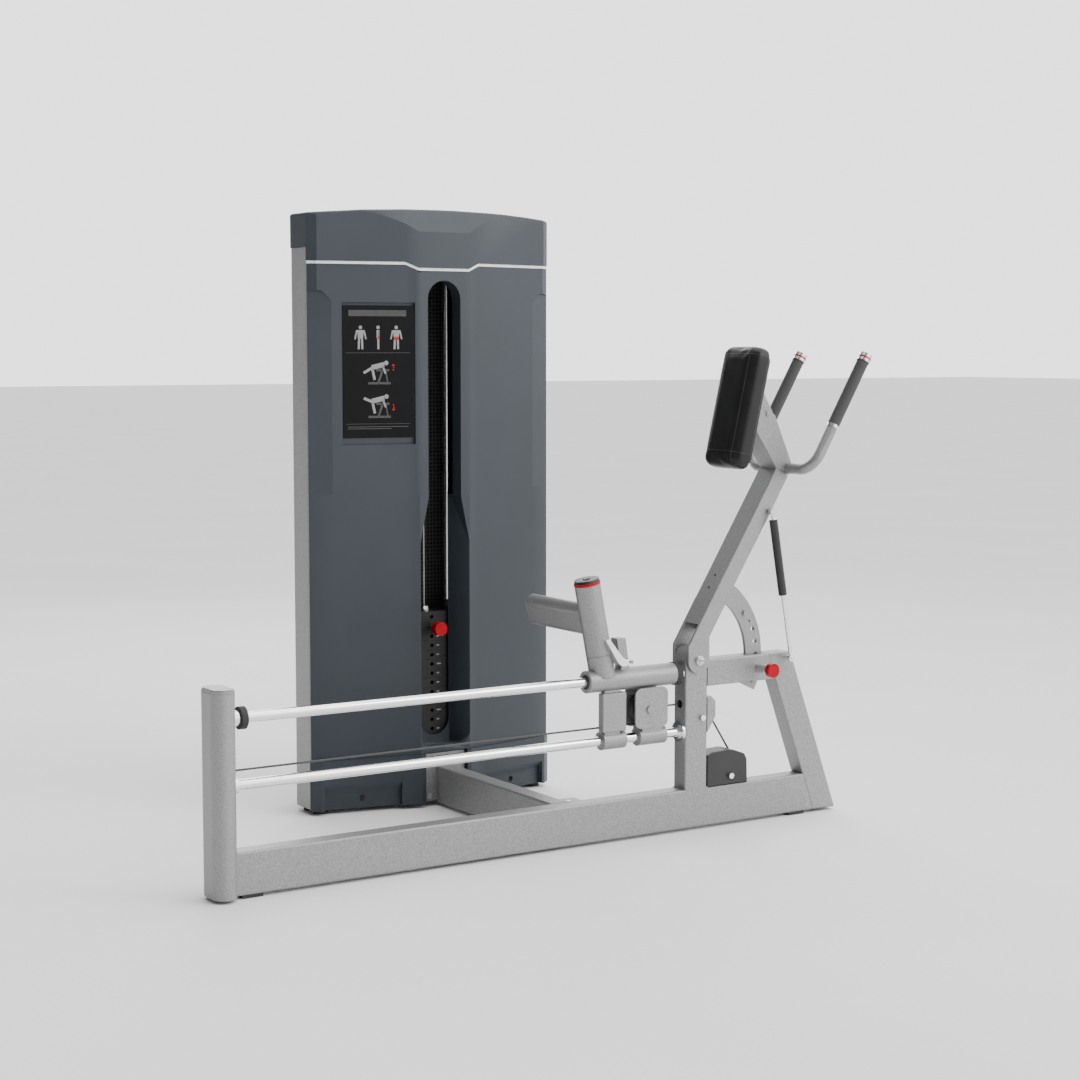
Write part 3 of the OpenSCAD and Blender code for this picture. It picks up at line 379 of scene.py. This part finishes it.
def guard_mesh():
    """Black sheet punched with rows of small round holes."""
    s = Shader("guard_mesh").base(metallic=0.2)
    cell = s.new("ShaderNodeTexVoronoi", feature="F1")
    cell.inputs["Scale"].default_value = 95
    cell.inputs["Randomness"].default_value = 0.0
    s.link(s.coords, cell.inputs["Vector"])
    s.colour(s.ramp(cell.outputs["Distance"], [(0.26, grey(0.002)), (0.34, grey(0.070))]))
    s.rough(cell.outputs["Distance"], 0.35, 0.6)
    s.bump(cell.outputs["Distance"], 0.002, 0.6)
    return s.mat


def stitched():
    s = Shader("stitched").base()
    thread = s.new("ShaderNodeTexWave", wave_type="BANDS", bands_direction="Z")
    thread.inputs["Scale"].default_value = 70
    s.link(s.coords, thread.inputs["Vector"])
    s.colour(s.ramp(thread.outputs["Fac"], [(0.2, grey(0.012)), (0.8, grey(0.045))]))
    s.rough(thread.outputs["Fac"], 0.45, 0.6)
    return s.mat


MATERIALS = {
    "painted_frame": painted_frame(),
    "painted_shroud": painted_shroud(),
    "chrome": chrome(),
    "black_steel": black_steel(),
    "rubber": rubber(),
    "black_plastic": black_plastic(),
    "red_plastic": red_plastic(),
    "white_stripe": white_stripe(),
    "placard_print": placard_print(),
    "vinyl": vinyl(),
    "grip_foam": grip_foam(),
    "cable_jacket": cable_jacket(),
}
# Materials of pieces that have no CAD node of their own
GUARD = guard_mesh()
THREAD = stitched()
WHITE_INK = ink("white_ink", grey(0.30))
GREY_INK = ink("grey_ink", grey(0.07))
RED_INK = ink("red_ink", (0.55, 0.01, 0.02))
BRIGHT_STEEL = brushed("bright_steel", 0.62, 0.22, 0.38)
BARE_CABLE = brushed("bare_cable", 0.55, 0.25, 0.4)


def paint(obj, material):
    obj.data.materials.clear()
    obj.data.materials.append(material)


for part in frame["record"]["subparts"]:
    paint(nodes[part["node"]], MATERIALS[part["material_slot"]])


# ---------------------------------------------------------------- mesh tools
CAD_SEAM = 2e-5  # vertices of a CAD mesh closer than this are one
FLAT_ANGLE = 1  # degrees; CAD facets closer than this are one face


def new_object(name, mesh, *materials):
    obj = bpy.data.objects.new(name, mesh)
    bpy.context.scene.collection.objects.link(obj)
    for material in materials:
        mesh.materials.append(material)
    return obj


def from_bmesh(name, bm, *materials, sharp=30):
    bmesh.ops.recalc_face_normals(bm, faces=bm.faces)
    for face in bm.faces:
        face.smooth = True
    mesh = bpy.data.meshes.new(name)
    bm.to_mesh(mesh)
    bm.free()
    mesh.set_sharp_from_angle(angle=radians(sharp))
    return new_object(name, mesh, *materials)


def body_named(node):
    """The CAD body that a node belongs to."""
    return body_of(nodes[node])[0]


def softened(node, radius, *materials, angle=28, segments=2, shortest=4, cut=None,
             choose=None, pick=None):
    """A copy of a CAD node with its long sharp edges rounded; it is shown for the node.

    choose(middle) says whether an edge there is rounded, pick(middle) gives the number
    of a face's material, and cut is a height at which long edges are divided first.
    """
    part = next(p for p in frame["record"]["subparts"] if p["node"] == node)
    bm = bmesh.new()
    bm.from_mesh(nodes[node].data)
    bmesh.ops.remove_doubles(bm, verts=bm.verts, dist=CAD_SEAM)
    bmesh.ops.dissolve_limit(bm, angle_limit=radians(FLAT_ANGLE), verts=bm.verts, edges=bm.edges)
    if cut:
        bmesh.ops.bisect_plane(bm, geom=bm.verts[:] + bm.edges[:] + bm.faces[:],
                               plane_co=(0, 0, cut), plane_no=(0, 0, 1))
    edges = [e for e in bm.edges if len(e.link_faces) == 2
             and e.calc_length() > shortest * radius and e.calc_face_angle(0) > radians(angle)
             and (choose is None or choose((e.verts[0].co + e.verts[1].co) / 2))]
    if radius:
        bmesh.ops.bevel(bm, geom=edges, offset=radius, segments=segments, profile=0.5,
                        affect="EDGES", clamp_overlap=False)
    if pick:
        for face in bm.faces:
            face.material_index = pick(face.calc_center_median())
    obj = from_bmesh(node + "_shaped", bm, *(materials or [MATERIALS[part["material_slot"]]]))
    weighted = obj.modifiers.new("weighted", "WEIGHTED_NORMAL")
    weighted.keep_sharp = True
    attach(obj, body_named(node))
    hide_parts(node)
    return obj


def lathe(name, profile, centre, axis, body, slot, material=None, segments=48):
    """A ring or cap turned about an axis; profile is (radius, along the axis) in millimetres."""
    turn = Vector(axis).to_track_quat("Z", "Y").to_matrix().to_4x4()
    place = Matrix.Translation(centre) @ turn
    bm = bmesh.new()
    verts = [bm.verts.new(place @ Vector((r * MM, 0, z * MM))) for r, z in profile]
    loop = [bm.edges.new((a, b)) for a, b in zip(verts, verts[1:] + verts[:1])]
    bmesh.ops.spin(bm, geom=verts + loop, cent=centre, axis=turn @ Vector((0, 0, 1)),
                   angle=2 * pi, steps=segments, use_merge=True)
    bmesh.ops.remove_doubles(bm, verts=bm.verts, dist=SAME_POINT)
    obj = from_bmesh(name, bm, material or MATERIALS[slot])
    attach(obj, body)
    return obj


def tube(name, points, radius, material, step=0.010, sides=12):
    """A round tube through points, with a ring of vertices every step or closer."""
    path = [points[0]]
    for a, b in zip(points, points[1:]):
        count = max(1, round((b - a).length / step))
        path += [a.lerp(b, (i + 1) / count) for i in range(count)]
    bm = bmesh.new()
    rings = []
    for i, p in enumerate(path):
        along = (path[min(i + 1, len(path) - 1)] - path[max(i - 1, 0)]).normalized()
        guide = Vector((0, 1, 0)) if abs(along.y) < 0.9 else Vector((1, 0, 0))
        u = along.cross(guide).normalized()
        v = along.cross(u)
        rings.append([bm.verts.new(p + radius * (cos(t) * u + sin(t) * v))
                      for t in (2 * pi * k / sides for k in range(sides))])
    for a, b in zip(rings, rings[1:]):
        for k in range(sides):
            bm.faces.new((a[k], a[(k + 1) % sides], b[(k + 1) % sides], b[k]))
    bm.faces.new(rings[0])
    bm.faces.new(rings[-1])
    return from_bmesh(name, bm, material, sharp=50)


def prism(bm, low, high):
    """Sides and ends between two equal rings of vertices."""
    for k in range(len(low)):
        n = (k + 1) % len(low)
        bm.faces.new((low[k], low[n], high[n], high[k]))
    bm.faces.new(low)
    bm.faces.new(high)


def plates(name, outlines, thick, place, material, body):
    """Flat shapes of one thickness, placed by place(u, v, lift) in millimetres."""
    bm = bmesh.new()
    for outline in outlines:
        low = [bm.verts.new(place(u, v, 0)) for u, v in outline]
        high = [bm.verts.new(place(u, v, thick)) for u, v in outline]
        prism(bm, low, high)
    obj = from_bmesh(name, bm, material)
    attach(obj, body)
    return obj


# ---------------------------------------------------------------- rounded CAD shapes
frame_paint = MATERIALS["painted_frame"]
chrome_finish = MATERIALS["chrome"]
black_finish = MATERIALS["black_plastic"]

TOWER_X, BEVEL_HALF = 895, 111.7
CAP_TOP, SCOOP_TOP, SPINE_LINES = 1.570, 0.850, (76.5, BEVEL_HALF)
tower_mid = at(TOWER_X, 0, 0).x


def on_spine(p):
    """True on the upright folds either side of the cover's spine, above its scoop."""
    aside = abs(p.x - tower_mid) / MM
    return p.z > SCOOP_TOP and any(abs(aside - line) < 1 for line in SPINE_LINES)


softened("top_cap", 0.006, segments=3, shortest=1.5, angle=55,
         choose=lambda p: p.z > CAP_TOP)
softened("front_cover", 0.009, segments=4, angle=12, cut=SCOOP_TOP, choose=on_spine)
for part_name, edge_radius, edge_segments in (
        ("post_cap", 0.0015, 2), ("pulley_cover", 0.003, 3), ("arm_tube", 0.002, 2),
        ("arm_fork", 0.0015, 2), ("sector_plate", 0.0012, 2), ("carriage_plate", 0.002, 2),
        ("block_plates", 0.0015, 2), ("latch_lever", 0.0012, 2), ("foot_bar", 0.002, 2),
        ("rear_leg", 0.003, 2), ("pad_board", 0.002, 2), ("beam_flange", 0.0012, 2)):
    softened(part_name, edge_radius, segments=edge_segments)

# ---------------------------------------------------------------- cables
CABLE_R = 2.5 * MM
WRAP_STEPS = 24
BLOCK_X, BLOCK_Z, BLOCK_R = 1135, 327, 37
STUD_X, EYE_X, UPRIGHT_X = 1076.2, 1202.2, 1251.8
low_z, high_z = BLOCK_Z - BLOCK_R, BLOCK_Z + BLOCK_R


def cable_piece(name, points, a, b=None, start=None, end=None):
    """A run of cable on body a, or stretched from body a to body b between two points."""
    obj = tube(name, points, CABLE_R, MATERIALS["cable_jacket"])
    if b:
        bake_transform(obj, a, b, start=start, end=end)
    else:
        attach(obj, a)
    return obj


front_run = cable_piece(
    "cable_front_straight", [at(0, 0, low_z), at(BLOCK_X, 0, low_z)],
    "frame", "pulley_block", at(0, 0, low_z), at(BLOCK_X, 0, low_z))
wrap = [at(BLOCK_X + BLOCK_R * cos(t), 0, BLOCK_Z + BLOCK_R * sin(t))
        for t in (-pi / 2 + pi * k / WRAP_STEPS for k in range(WRAP_STEPS + 1))]
front_wrap = cable_piece("cable_block_wrap", wrap, "pulley_block")
# The return strand's block end moves half as far as the carriage, so it sits at mid blend
front_return = cable_piece(
    "cable_return", [at(BLOCK_X, 0, high_z), at(STUD_X, 0, high_z)],
    "frame", "carriage", at(2 * BLOCK_X - STUD_X, 0, high_z), at(STUD_X, 0, high_z))
for piece in (front_run, front_wrap, front_return):
    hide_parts("cable_front_run")
pull_run = cable_piece(
    "cable_pull_straight", [at(UPRIGHT_X, 0, BLOCK_Z), at(EYE_X, 0, BLOCK_Z)],
    "frame", "pulley_block", at(UPRIGHT_X, 0, BLOCK_Z), at(EYE_X, 0, BLOCK_Z))
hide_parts("cable_pull_run")
lift_low, lift_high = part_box("lift_cable")
lift_mid = (Vector(lift_low) + Vector(lift_high)) / 2
lift_ends = [Vector((lift_mid.x, lift_mid.y, z)) for z in (lift_high[2], lift_low[2])]
lift = cable_piece("cable_lift", lift_ends, "frame", "lifted_stack", *lift_ends)
paint(lift, BARE_CABLE)
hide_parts("lift_cable")

# ---------------------------------------------------------------- chest pad
PAD_MID, PAD_LEAN = (1389, 1088), 13.1
PAD_W, PAD_LEN, PAD_T = 152, 322, 56
PAD_FACE, PAD_BORDER, PAD_SHRINK, END_ROUND = 58, 20, 3.5, 24
PAD_VOXEL, PAD_CAP, HELD_BAND = 5, 6, 8
SEAM_Z, SEAM_INSET, SEAM_REACH, SEAM_DEPTH = (137, -118), 3, 6, 1.6
THREAD_R, THREAD_STEPS = 0.7, 24
CLOTH_FRAMES, CLOTH_PRESSURE, SMOOTHING = 20, 4.0, 4
CLOTH = {"quality": 6, "mass": 0.3, "tension_stiffness": 18, "compression_stiffness": 18,
         "bending_stiffness": 6, "use_pressure": True}
on_pad = Matrix.Translation(at(PAD_MID[0], 0, PAD_MID[1])) @ Matrix.Rotation(
    radians(PAD_LEAN), 4, "Y")


def pad_block(shrink):
    """The pad's foam: a flat face with sloped borders and rounded ends, in its own frame."""
    w, f, t = PAD_W / 2 - shrink, PAD_FACE - shrink, PAD_T - 1
    plan = [(-w, t), (-w, PAD_BORDER), (-f, shrink), (f, shrink), (w, PAD_BORDER), (w, t)]
    half = PAD_LEN / 2 - shrink
    bm = bmesh.new()
    rings = [[bm.verts.new((x * MM, y * MM, z * MM)) for y, x in plan] for z in (-half, half)]
    prism(bm, *rings)
    bmesh.ops.recalc_face_normals(bm, faces=bm.faces)
    ends = [e for e in bm.edges if abs(e.verts[0].co.z - e.verts[1].co.z) < SAME_POINT
            and min(v.co.x for v in e.verts) < (PAD_T - 2) * MM]
    bmesh.ops.bevel(bm, geom=ends, offset=END_ROUND * MM, segments=6, profile=0.5,
                    affect="EDGES", clamp_overlap=True)
    return bm


def pressed(obj, pressure, cap, held):
    """Blows the mesh up a little as cloth, with the vertices that held(co) picks kept."""
    rest = [v.co.copy() for v in obj.data.vertices]
    group = obj.vertex_groups.new(name="held")
    group.add([i for i, co in enumerate(rest) if held(co)], 1.0, "REPLACE")
    cloth = obj.modifiers.new("press", "CLOTH")
    settings = cloth.settings
    for key, value in CLOTH.items():
        setattr(settings, key, value)
    settings.uniform_pressure_force = pressure
    settings.effector_weights.gravity = 0
    settings.vertex_group_mass = "held"
    cloth.point_cache.frame_start = 1
    cloth.point_cache.frame_end = CLOTH_FRAMES
    for number in range(1, CLOTH_FRAMES + 1):
        bpy.context.scene.frame_set(number)
    shown = obj.evaluated_get(bpy.context.evaluated_depsgraph_get())
    moved = [v.co.copy() for v in shown.data.vertices]
    obj.modifiers.remove(cloth)
    bpy.context.scene.frame_set(1)
    for vertex, start, end in zip(obj.data.vertices, rest, moved):
        step = end - start
        vertex.co = start + step * min(1.0, cap / max(step.length, 1e-9))
    soft = bmesh.new()
    soft.from_mesh(obj.data)
    for _ in range(SMOOTHING):
        bmesh.ops.smooth_vert(soft, verts=soft.verts, factor=0.5, use_axis_x=True,
                              use_axis_y=True, use_axis_z=True)
    soft.to_mesh(obj.data)
    soft.free()


def chest_pad():
    """The pad's cushion, pressed from its foam block and laid on the arm."""
    pad = from_bmesh("chest_cushion", pad_block(PAD_SHRINK), MATERIALS["vinyl"], sharp=180)
    remesh = pad.modifiers.new("remesh", "REMESH")
    remesh.mode = "VOXEL"
    remesh.voxel_size = PAD_VOXEL * MM
    shown = pad.evaluated_get(bpy.context.evaluated_depsgraph_get())
    dense = bpy.data.meshes.new_from_object(shown)
    pad.modifiers.clear()
    pad.data = dense
    dense.polygons.foreach_set("use_smooth", [True] * len(dense.polygons))
    pressed(pad, CLOTH_PRESSURE, PAD_CAP * MM, lambda co: co.x > (PAD_T - HELD_BAND) * MM)
    # the cover's seams pull the foam in a little along both borders and across the face
    for vertex in dense.vertices:
        y, z = abs(vertex.co.y) / MM, vertex.co.z / MM
        near = min(abs(y - PAD_FACE + SEAM_INSET), *(abs(z - s) for s in SEAM_Z))
        if vertex.co.x < 0.5 * PAD_T * MM and near < SEAM_REACH:
            vertex.co.x += (SEAM_DEPTH * MM) * (1 - near / SEAM_REACH) ** 2
        vertex.co.x = max(vertex.co.x, 0.3 * MM)
    dense.transform(on_pad)
    smooth = pad.modifiers.new("smooth", "SUBSURF")
    smooth.levels = smooth.render_levels = 1
    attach(pad, "pad_arm")
    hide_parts("chest_pad")
    return pad


def seam(name, pad, places):
    """A thread line laid on the pad's surface through points in the pad's own frame."""
    line = []
    for a, b in zip(places, places[1:]):
        for k in range(THREAD_STEPS):
            p = Vector(a).lerp(Vector(b), k / THREAD_STEPS) * MM
            _, where, normal, _ = pad.closest_point_on_mesh(on_pad @ p)
            line.append(where + normal * 0.1 * MM)
    obj = tube(name, line, THREAD_R * MM, THREAD, step=0.02, sides=8)
    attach(obj, "pad_arm")


cushion = chest_pad()
bpy.context.view_layer.update()
edge_y = PAD_FACE - SEAM_INSET
for side, tag in ((-1, "near"), (1, "far")):
    seam(f"pad_seam_{tag}", cushion, [(-2, side * edge_y, z) for z in (-148, 0, 150)])
for tag, z in zip(("upper", "lower"), SEAM_Z):
    seam(f"pad_seam_{tag}", cushion,
         [(PAD_T - HELD_BAND, -82, z), (PAD_BORDER, -82, z), (-4, -edge_y, z), (-4, edge_y, z),
          (PAD_BORDER, 82, z), (PAD_T - HELD_BAND, 82, z)])

# ---------------------------------------------------------------- foot post and handles
STUB_X, UPPER_ROD_Z, FOOT_LEAN = 1009.4, 408, 11.3
SLEEVE_TOP, SLEEVE_R = 248, 32.5
post_axis = Vector((-sin(radians(FOOT_LEAN)), 0, cos(radians(FOOT_LEAN))))
sleeve_end = at(STUB_X, 0, UPPER_ROD_Z) + post_axis * SLEEVE_TOP * MM
lathe("sleeve_ring", [(SLEEVE_R - 3, 0.5), (SLEEVE_R + 0.5, 0.5), (SLEEVE_R + 0.9, 1.5),
                      (SLEEVE_R + 0.9, 6.5), (SLEEVE_R + 0.5, 7.5), (SLEEVE_R - 3, 7.5)],
      sleeve_end, post_axis, "foot_lever", "red_plastic")
softened("sleeve_cap", 0.002, segments=3)

HANDLE_AT, HANDLE_LEAN, GRIP_SPREAD = (1566, 921), 31, 130
GRIP_FROM, GRIP_TO = 134, 322
handle_axis = Vector((sin(radians(HANDLE_LEAN)), 0, cos(radians(HANDLE_LEAN))))
handle_foot = at(HANDLE_AT[0], 0, HANDLE_AT[1])


def handle_part(centre):
    """0 paint, 1 chrome: the collars under the grips and the caps above them."""
    along = (centre - handle_foot).dot(handle_axis) / MM
    aside = abs(abs((centre - handle_foot).y) / MM - GRIP_SPREAD)
    collar = GRIP_FROM - 10 < along < GRIP_FROM and aside < 20
    return 1 if collar or along > GRIP_TO - 2 else 0


softened("handle_bars", 0, frame_paint, chrome_finish, pick=handle_part)
softened("grips", 0)
for side, tag in ((-1, "near"), (1, "far")):
    end = handle_foot + Vector((0, side * GRIP_SPREAD * MM, 0)) + handle_axis * GRIP_TO * MM
    lathe(f"handle_ring_{tag}", [(14, 8), (17.3, 8), (17.3, 12), (14, 12)], end, handle_axis,
          "pad_arm", "red_plastic")
    lathe(f"grip_lip_{tag}", [(14, -3), (15.6, -3), (16.6, -1.5), (16.6, 0.2), (14, 0.2)], end,
          handle_axis, "pad_arm", "grip_foam")

# ---------------------------------------------------------------- pins and gas spring
POP_KNOB_BACK, SELECTOR_KNOB_BACK = -71.5, 628
GAS_TOP, GAS_EYE_REACH = (1504, -47, 812), 21.5


def by_place(limit):
    """0 for what lies beyond limit along -Y (a knob), 1 for the shaft behind it."""
    return lambda centre: 0 if centre.y < limit else 1


knob_edge = WORK_Y + POP_KNOB_BACK * MM
softened("pop_pin", 0.002, MATERIALS["red_plastic"], BRIGHT_STEEL, pick=by_place(knob_edge),
         choose=lambda p: p.y < knob_edge)
softened("selector_pin", 0.002, MATERIALS["red_plastic"], BRIGHT_STEEL,
         pick=by_place(WORK_Y + (SELECTOR_KNOB_BACK + 0.5) * MM),
         choose=lambda p: p.y < WORK_Y + SELECTOR_KNOB_BACK * MM)
paint(nodes["pin_barrel"], BRIGHT_STEEL)
gas_top = at(*GAS_TOP)
softened("gas_cylinder", 0, black_finish, chrome_finish,
         pick=lambda p: 1 if (p - gas_top).length < GAS_EYE_REACH * MM else 0)


def button_head(name, centre, side, body, radius=7, washer=11):
    """A washer and a domed bolt head with its socket, on the Y axis."""
    lathe(name, [(2.6, 2.0), (2.6, 5.2), (0.55 * radius, 6.0), (0.85 * radius, 5.0),
                 (radius, 3.2), (radius, 2.0), (washer, 2.0), (washer, 0.2), (1, 0.2),
                 (1, 2.0)],
          centre, (0, side, 0), body, "chrome", BRIGHT_STEEL, segments=32)


PIVOT, PIVOT_FACE = (1281, 441), 40.7
for side, tag in ((-1, "near"), (1, "far")):
    button_head(f"pivot_bolt_{tag}", at(PIVOT[0], side * PIVOT_FACE, PIVOT[1]), side, "frame")

# ---------------------------------------------------------------- tower details
BEVEL_Y, PANEL_SLOPE = 594, 11.06
PLACARD_LOW, PLACARD_X = 997, -170
PLACARD_FACE = 4.6


def on_placard(u, v, lift):
    """A point of the placard: u from its left edge, v from its lower edge, lift off its face."""
    a = radians(-PANEL_SLOPE)
    x, y = PLACARD_X + u, PLACARD_FACE - lift
    return at(TOWER_X - BEVEL_HALF + x * cos(a) - y * sin(a),
              BEVEL_Y + x * sin(a) + y * cos(a), PLACARD_LOW + v)


def bar(u, v, w, h):
    """A rectangle from its lower left corner."""
    return [(u, v), (u + w, v), (u + w, v + h), (u, v + h)]


def disc(u, v, r, n=20):
    return [(u + r * cos(2 * pi * k / n), v + r * sin(2 * pi * k / n)) for k in range(n)]


def limb(u0, v0, u1, v1, w):
    """A straight limb with width w between two points."""
    d = Vector((u1 - u0, v1 - v0)).normalized() * w / 2
    return [(u0 - d.y, v0 + d.x), (u0 + d.y, v0 - d.x), (u1 + d.y, v1 - d.x),
            (u1 - d.y, v1 + d.x)]


def standing(u, v, wide):
    """A plain standing figure 62 mm tall; wide is 1 from the front and 0.4 from the side."""
    w = wide
    shapes = [disc(u, v + 57, 4.6), [(u - 9 * w, v + 50), (u + 9 * w, v + 50),
              (u + 6 * w + 1, v + 28), (u - 6 * w - 1, v + 28)]]
    for s in ((-1, 1) if wide > 0.5 else (0.3,)):
        shapes.append(limb(u + s * 4 * w, v + 29, u + s * 5 * w, v, 5.5))
        shapes.append(limb(u + s * 10 * w, v + 49, u + s * 15 * w, v + 26, 4))
    return shapes


def kicking(u, v, leg):
    """A figure leaning on a bench with one leg stretched back to the height leg."""
    return [disc(u + 62, v + 56, 6), limb(u + 22, v + 44, u + 56, v + 52, 13),
            limb(u + 52, v + 48, u + 60, v + 28, 5), limb(u + 24, v + 40, u + 30, v + 12, 7),
            limb(u + 22, v + 43, u, v + leg, 7)]


def machine(u, v):
    """A plain bench on a rail, under the kicking figure."""
    return [bar(u + 12, v, 62, 6), limb(u + 40, v + 4, u + 52, v + 38, 6),
            bar(u + 34, v + 34, 36, 6), limb(u + 66, v + 4, u + 60, v + 36, 4)]


def arrow(u, v, lift):
    """An arrow of two dashes and a head; it points up where lift is 1 and down where -1."""
    return [limb(u, v, u + 2, v + lift * 4, 2.4),
            limb(u + 2.5, v + lift * 6, u + 2, v + lift * 10, 2.4),
            [(u - 3, v + lift * 12), (u + 6, v + lift * 12), (u + 1, v + lift * 18)]]


white, grey_marks, red_marks = [], [], []
grey_marks.append(bar(16, 318, 158, 16))
for u, wide in ((48, 1), (96, 0.45), (146, 1)):
    white += standing(u, 232, wide)
red_marks += [bar(139, 256, 14, 9), bar(94, 258, 5, 8)]
grey_marks += [bar(8, 222, 176, 1.2), bar(8, 36, 176, 1.2)]
for v, leg, turn in ((140, 30, 1), (52, 52, -1)):
    white += kicking(56, v, leg)
    grey_marks += machine(56, v)
    red_marks += arrow(136, v + 36, turn)
grey_marks += [bar(12, v, w, 2) for v, w in ((28, 166), (23, 120))]
for name, shapes, material, lift in (("placard_grey", grey_marks, GREY_INK, 0.2),
                                     ("placard_white", white, WHITE_INK, 0.4),
                                     ("placard_red", red_marks, RED_INK, 0.6)):
    plates(name, shapes, lift, on_placard, material, "frame")


def guard_sheet():
    """Folded sheet standing behind the weight stack."""
    half, low, high, y, lip = 118, 150, 1440, 764, 16
    plan = [(-half, y - lip), (-half, y), (half, y), (half, y - lip), (half - 1.5, y - lip),
            (half - 1.5, y - 1.5), (-half + 1.5, y - 1.5), (-half + 1.5, y - lip)]
    bm = bmesh.new()
    rings = [[bm.verts.new(at(TOWER_X + u, v, z)) for u, v in plan] for z in (low, high)]
    prism(bm, *rings)
    obj = from_bmesh("guard_sheet", bm, GUARD)
    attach(obj, "frame")


guard_sheet()

STACK_LOW, PLATE_T, PLATES, STACK_FRONT = 109, 25.4, 15, 657


def on_stack(u, v, lift):
    """A point on the weight plates' front, lift off it."""
    return at(TOWER_X + u, STACK_FRONT - lift, v)


def tick(number):
    """Plain marks beside a plate's hole; every fifth plate has a longer one."""
    v = STACK_LOW + (number + 0.5) * PLATE_T
    return [bar(14, v - 2, 13 if number % 5 == 0 else 8, 3.6)]


plates("plate_marks", sum((tick(n) for n in range(PLATES - 1)), []), 0.4, on_stack,
       WHITE_INK, "frame")
plates("top_plate_mark", tick(PLATES - 1), 0.4, on_stack, WHITE_INK, "lifted_stack")


# ---------------------------------------------------------------- welds
BEAD_R, BEAD_SIDES, RIPPLE, RIPPLE_TURN = 2.0, 8, 0.35, 1.7
RAIL_TOP, HALF_W, POST_WELD_FROM = 108, 25, 12
UPRIGHT_FROM, UPRIGHT_TO, BEAM_FROM, BEAM_TO = 1246, 1316, 870, 920


def weld(name, points, closed=False):
    """A rippled weld bead along a joint of the frame."""
    path = list(points) + ([points[0]] if closed else [])
    obj = tube(name, path, BEAD_R * MM, frame_paint, step=0.002, sides=BEAD_SIDES)
    for i, vertex in enumerate(obj.data.vertices):
        vertex.co += Vector((0, 0, RIPPLE * MM * sin(i // BEAD_SIDES * RIPPLE_TURN)))
    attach(obj, "frame")


weld("weld_upright", [at(x, y, RAIL_TOP) for x, y in
                      ((UPRIGHT_FROM, -HALF_W), (UPRIGHT_TO, -HALF_W),
                       (UPRIGHT_TO, HALF_W), (UPRIGHT_FROM, HALF_W))], closed=True)
weld("weld_post", [at(0, y, z) for y, z in
                   ((-HALF_W, POST_WELD_FROM), (-HALF_W, RAIL_TOP), (HALF_W, RAIL_TOP))])
weld("weld_beam", [at(BEAM_FROM, HALF_W, RAIL_TOP), at(BEAM_TO, HALF_W, RAIL_TOP)])

# ---------------------------------------------------------------- floor
FLOOR_HALF = 60.0


def floor():
    mesh = bpy.data.meshes.new("floor")
    half = FLOOR_HALF
    mesh.from_pydata([(-half, -half, 0), (half, -half, 0), (half, half, 0), (-half, half, 0)],
                     [], [(0, 1, 2, 3)])
    obj = bpy.data.objects.new("floor", mesh)
    bpy.context.scene.collection.objects.link(obj)
    s = Shader("floor_paint").base()
    cloud = s.noise(1.2, detail=2)
    s.colour(s.ramp(cloud, [(0.3, grey(0.86)), (0.7, grey(0.90))]))
    s.rough(cloud, 0.75, 0.85)
    paint(obj, s.mat)


floor()
